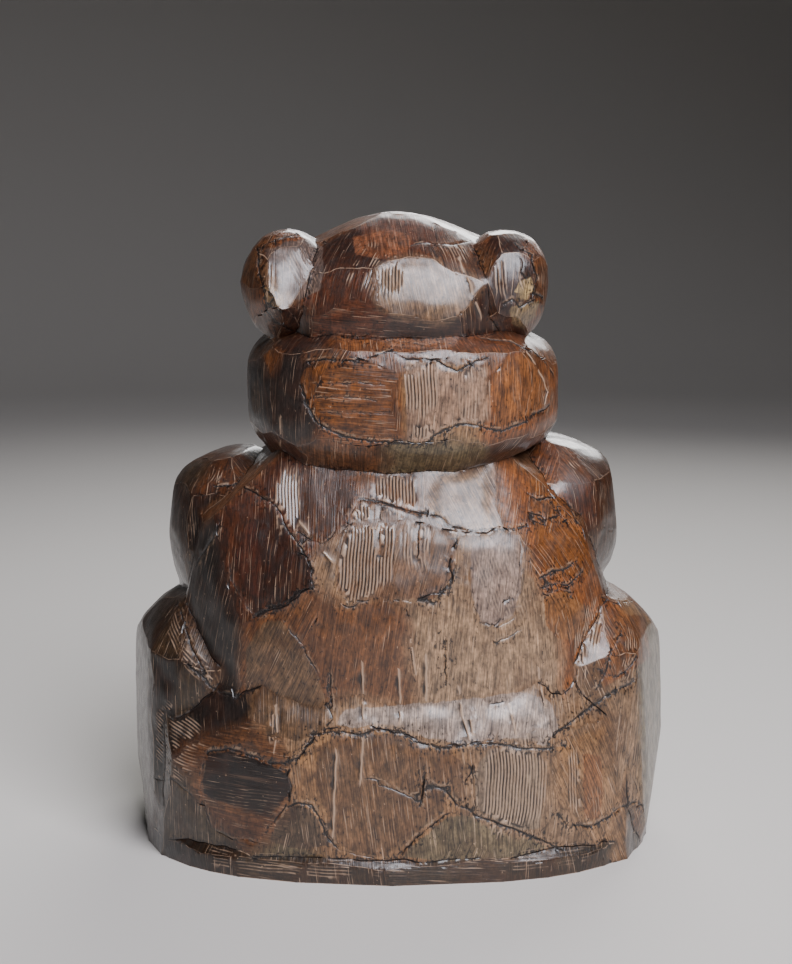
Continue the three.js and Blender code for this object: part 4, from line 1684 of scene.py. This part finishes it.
# %% Sums
SUMS = (
    # The patch lies over the stain up to a rim that the noise makes ragged
    ("shake", "MULTIPLY_ADD", "mottle", 3.0, -2.1),
    ("shaken", "MULTIPLY_ADD", "flecks", 1.2, "shake"),
    ("from_rim", "ADD", "inward", "shaken"),
    # The stain is thicker and thinner: a gain on the colour, so that dark stays dark
    ("gain", "MULTIPLY", ("mottle", 0.28, 0.72, 1.22, 0.54), ("streaks", 0.3, 0.7, 1.16, 0.84)),
    ("gain", "MULTIPLY", "gain", ("flecks", 0.3, 0.7, 1.24, 0.76)),
    ("gain", "MULTIPLY", "gain", ("fine", 0.36, 0.64, 1.26, 0.68)),
    ("dimmed", "MULTIPLY", "gain", 0.88),
    # The dark line of a crack comes and goes, and a pale lip is chipped beside it
    ("from_line", "MULTIPLY_ADD", "flecks", 2.4, -1.2),
    ("off_line", "ADD", "from_line", "aside"),
    ("near_line", "ABSOLUTE", "off_line"),
    ("come_and_go", "MULTIPLY_ADD", "mottle", 1.5, ("crack", 0.0, 1.0, 0.0, 0.55)),
    ("line", "MULTIPLY", ("near_line", 0.78, 0.12), ("come_and_go", 0.98, 1.32)),
    ("line", "MULTIPLY", "line", ("crack", 0.02, 0.35)),
    ("lip_line", "SUBTRACT", "off_line", 1.5),
    ("lip_line", "ABSOLUTE", "lip_line"),
    ("lip", "MULTIPLY", ("lip_line", 1.1, 0.2), ("mottle", 0.42, 0.60)),
    ("lip", "MULTIPLY", "lip", "crack"),
    # Darker next to borders, dark streaks where the brush ran dry, chips, worn edges with painted highlights
    # on comb ridges, furrows
    ("wandering", "MULTIPLY_ADD", "mottle", 5.0, -2.0),
    ("from_border", "ADD", "border", "wandering"),
    ("streaked", "MULTIPLY", "streaks", "dry"),
    ("chipped", "MULTIPLY_ADD", "scarred", 0.19, "flecks"),
    ("rubbed", "MULTIPLY", "worn", "mottle"),
    ("pooled", "MULTIPLY_ADD", "mottle", 0.3, "grooved"),
    # The lacquer is satin, duller in furrows and clear on the polished parts
    ("satin", "MULTIPLY_ADD", "grooved", 0.25, ("mottle", 0.35, 0.65, 0.36, 0.50)),
    ("satin", "MULTIPLY", "satin", ("polished", 0.0, 1.0, 1.0, 0.35)),
    # What is too fine for the mesh, as height
    ("height", "MULTIPLY_ADD", "lip", 0.5, "fine"),
    ("height", "MULTIPLY_ADD", "line", -2.2, "height"),
    ("height", "MULTIPLY_ADD", "streaks", 0.5, "height"),
    ("height", "MULTIPLY_ADD", "mottle", 0.8, "height"),
    ("height", "MULTIPLY_ADD", "scratches", -1.2, "height"),
)

print(len(SUMS), "sums")

# %% [markdown]
# ## Layers of colour
# A finisher works in layers: stain in pools and streaks, dirt in the furrows, a dry pale rub on
# the ridges. Each layer says what it follows, where it starts to show and where it shows fully,
# how strongly, and its colour.

# %% Layers
LAYERS = (
    ("blotches", 0.45, 0.66, 0.30, "#3a1c0c"),
    ("streaked", 0.28, 0.42, 0.45, "#22100a"),
    ("fine", 0.62, 0.72, 0.50, "#1c0d07"),
    ("scratches", 0.63, 0.72, 0.60, "#170a06"),
    ("scratches", 0.34, 0.26, 0.40, "#cbab8f"),
    ("streaks", 0.40, 0.28, 0.10, "#b98f70"),
    ("from_border", 1.8, 0.2, 0.22, "#2a140b"),
    ("lip", 0.0, 1.0, 0.45, "#c3a283"),
    ("chipped", 0.66, 0.74, 0.85, "#140906"),
    ("flecks", 0.29, 0.23, 0.40, "#caa88a"),
    # pale where edges and burrs are worn, and a painted highlight on comb ridges
    ("rubbed", 0.06, 0.34, 0.60, "#b99a80"),
    ("pooled", 0.28, 0.72, 0.94, "#120805"),
    ("line", 0.0, 1.0, 0.95, "#0e0604"),
)
print(len(LAYERS), "layers of colour")

# %% [markdown]
# ## Read fields and sums
# The tables become nodes here, and every result is kept under its name. A ramp is a Map Range
# node with a soft start and end, since stain has no hard limits.

# %% Fields and sums
RAMP = ("From_Min", "From_Max", "To_Min", "To_Max")
SOFT = {"interpolation_type": "SMOOTHSTEP"}


def read_fields(tree):
    """Each thing that the skin knows and each noise field, by name."""
    made = {"place": node(tree, "ShaderNodeTexCoord", out="Object")}
    for name, out in KNOWN.items():
        made[name] = node(tree, "ShaderNodeAttribute", {"attribute_name": name}, out)
    for name, (read_at, size, tall, detail, twist) in FIELDS.items():
        scale = (1 / (size * MM), 1 / (size * MM), 1 / (size * MM * tall))
        spot = node(tree, "ShaderNodeMapping", Vector=made[read_at], Scale=scale)
        made[name] = node(
            tree, "ShaderNodeTexNoise", Vector=spot, Scale=1.0, Detail=detail, Distortion=twist
        )
    return made


def work_out_sums(tree, made):
    """Adds the result of each sum to what is made already."""
    for name, operation, *terms in SUMS:
        sockets = {}
        for i, term in enumerate(terms):
            if isinstance(term, tuple):
                limits = dict(zip(RAMP, term[1:]))
                term = node(tree, "ShaderNodeMapRange", SOFT, Value=made[term[0]], **limits)
            sockets[f"_{i}"] = made.get(term, term) if isinstance(term, str) else term
        made[name] = node(tree, "ShaderNodeMath", {"operation": operation}, **sockets)


# %% [markdown]
# ## The resin itself
# The patch is laid over the stain, both are made thicker and thinner, and the layers follow. The
# bump carries only what is too fine for the mesh, a quarter of a millimetre at most.

# %% Resin
RAGGED_RIM = (-0.3, 0.5)  # millimetres from a rim between which a patch goes from none to full


def stained_resin():
    material, tree = fresh_material("stained and lacquered resin")
    made = read_fields(tree)
    work_out_sums(tree, made)
    blend = {"data_type": "RGBA"}
    in_patch = node(
        tree, "ShaderNodeMapRange", SOFT, Value=made["from_rim"], **dict(zip(RAMP, RAGGED_RIM))
    )
    # the stain and patch colours hold painted shade, sheen and glare as well as stain
    colour = node(tree, "ShaderNodeMix", blend, 2, _0=in_patch, _6=made["stain_with_painted_light"], _7=made["patch"])
    colour = node(tree, "ShaderNodeVectorMath", {"operation": "SCALE"}, _0=colour, Scale=made["dimmed"])
    for name, none_at, full_at, strength, hex_colour in LAYERS:
        shown = node(
            tree, "ShaderNodeMapRange", SOFT, Value=made[name], From_Min=none_at, From_Max=full_at,
            To_Max=strength,
        )
        colour = node(tree, "ShaderNodeMix", blend, 2, _0=shown, _6=colour, _7=linear(hex_colour))
    bump = node(tree, "ShaderNodeBump", Strength=0.5, Distance=0.25 * MM, Height=made["height"])
    resin = node(
        tree, "ShaderNodeBsdfPrincipled", Base_Color=colour, Roughness=made["satin"], IOR=1.5,
        Normal=bump, Coat_Weight=0.6, Coat_Roughness=0.2,
    )
    node(tree, "ShaderNodeOutputMaterial", Surface=resin)
    print("the resin has", len(tree.nodes), "nodes")
    return material


cast.data.materials.append(stained_resin())
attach(cast, "root")
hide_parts("bear")
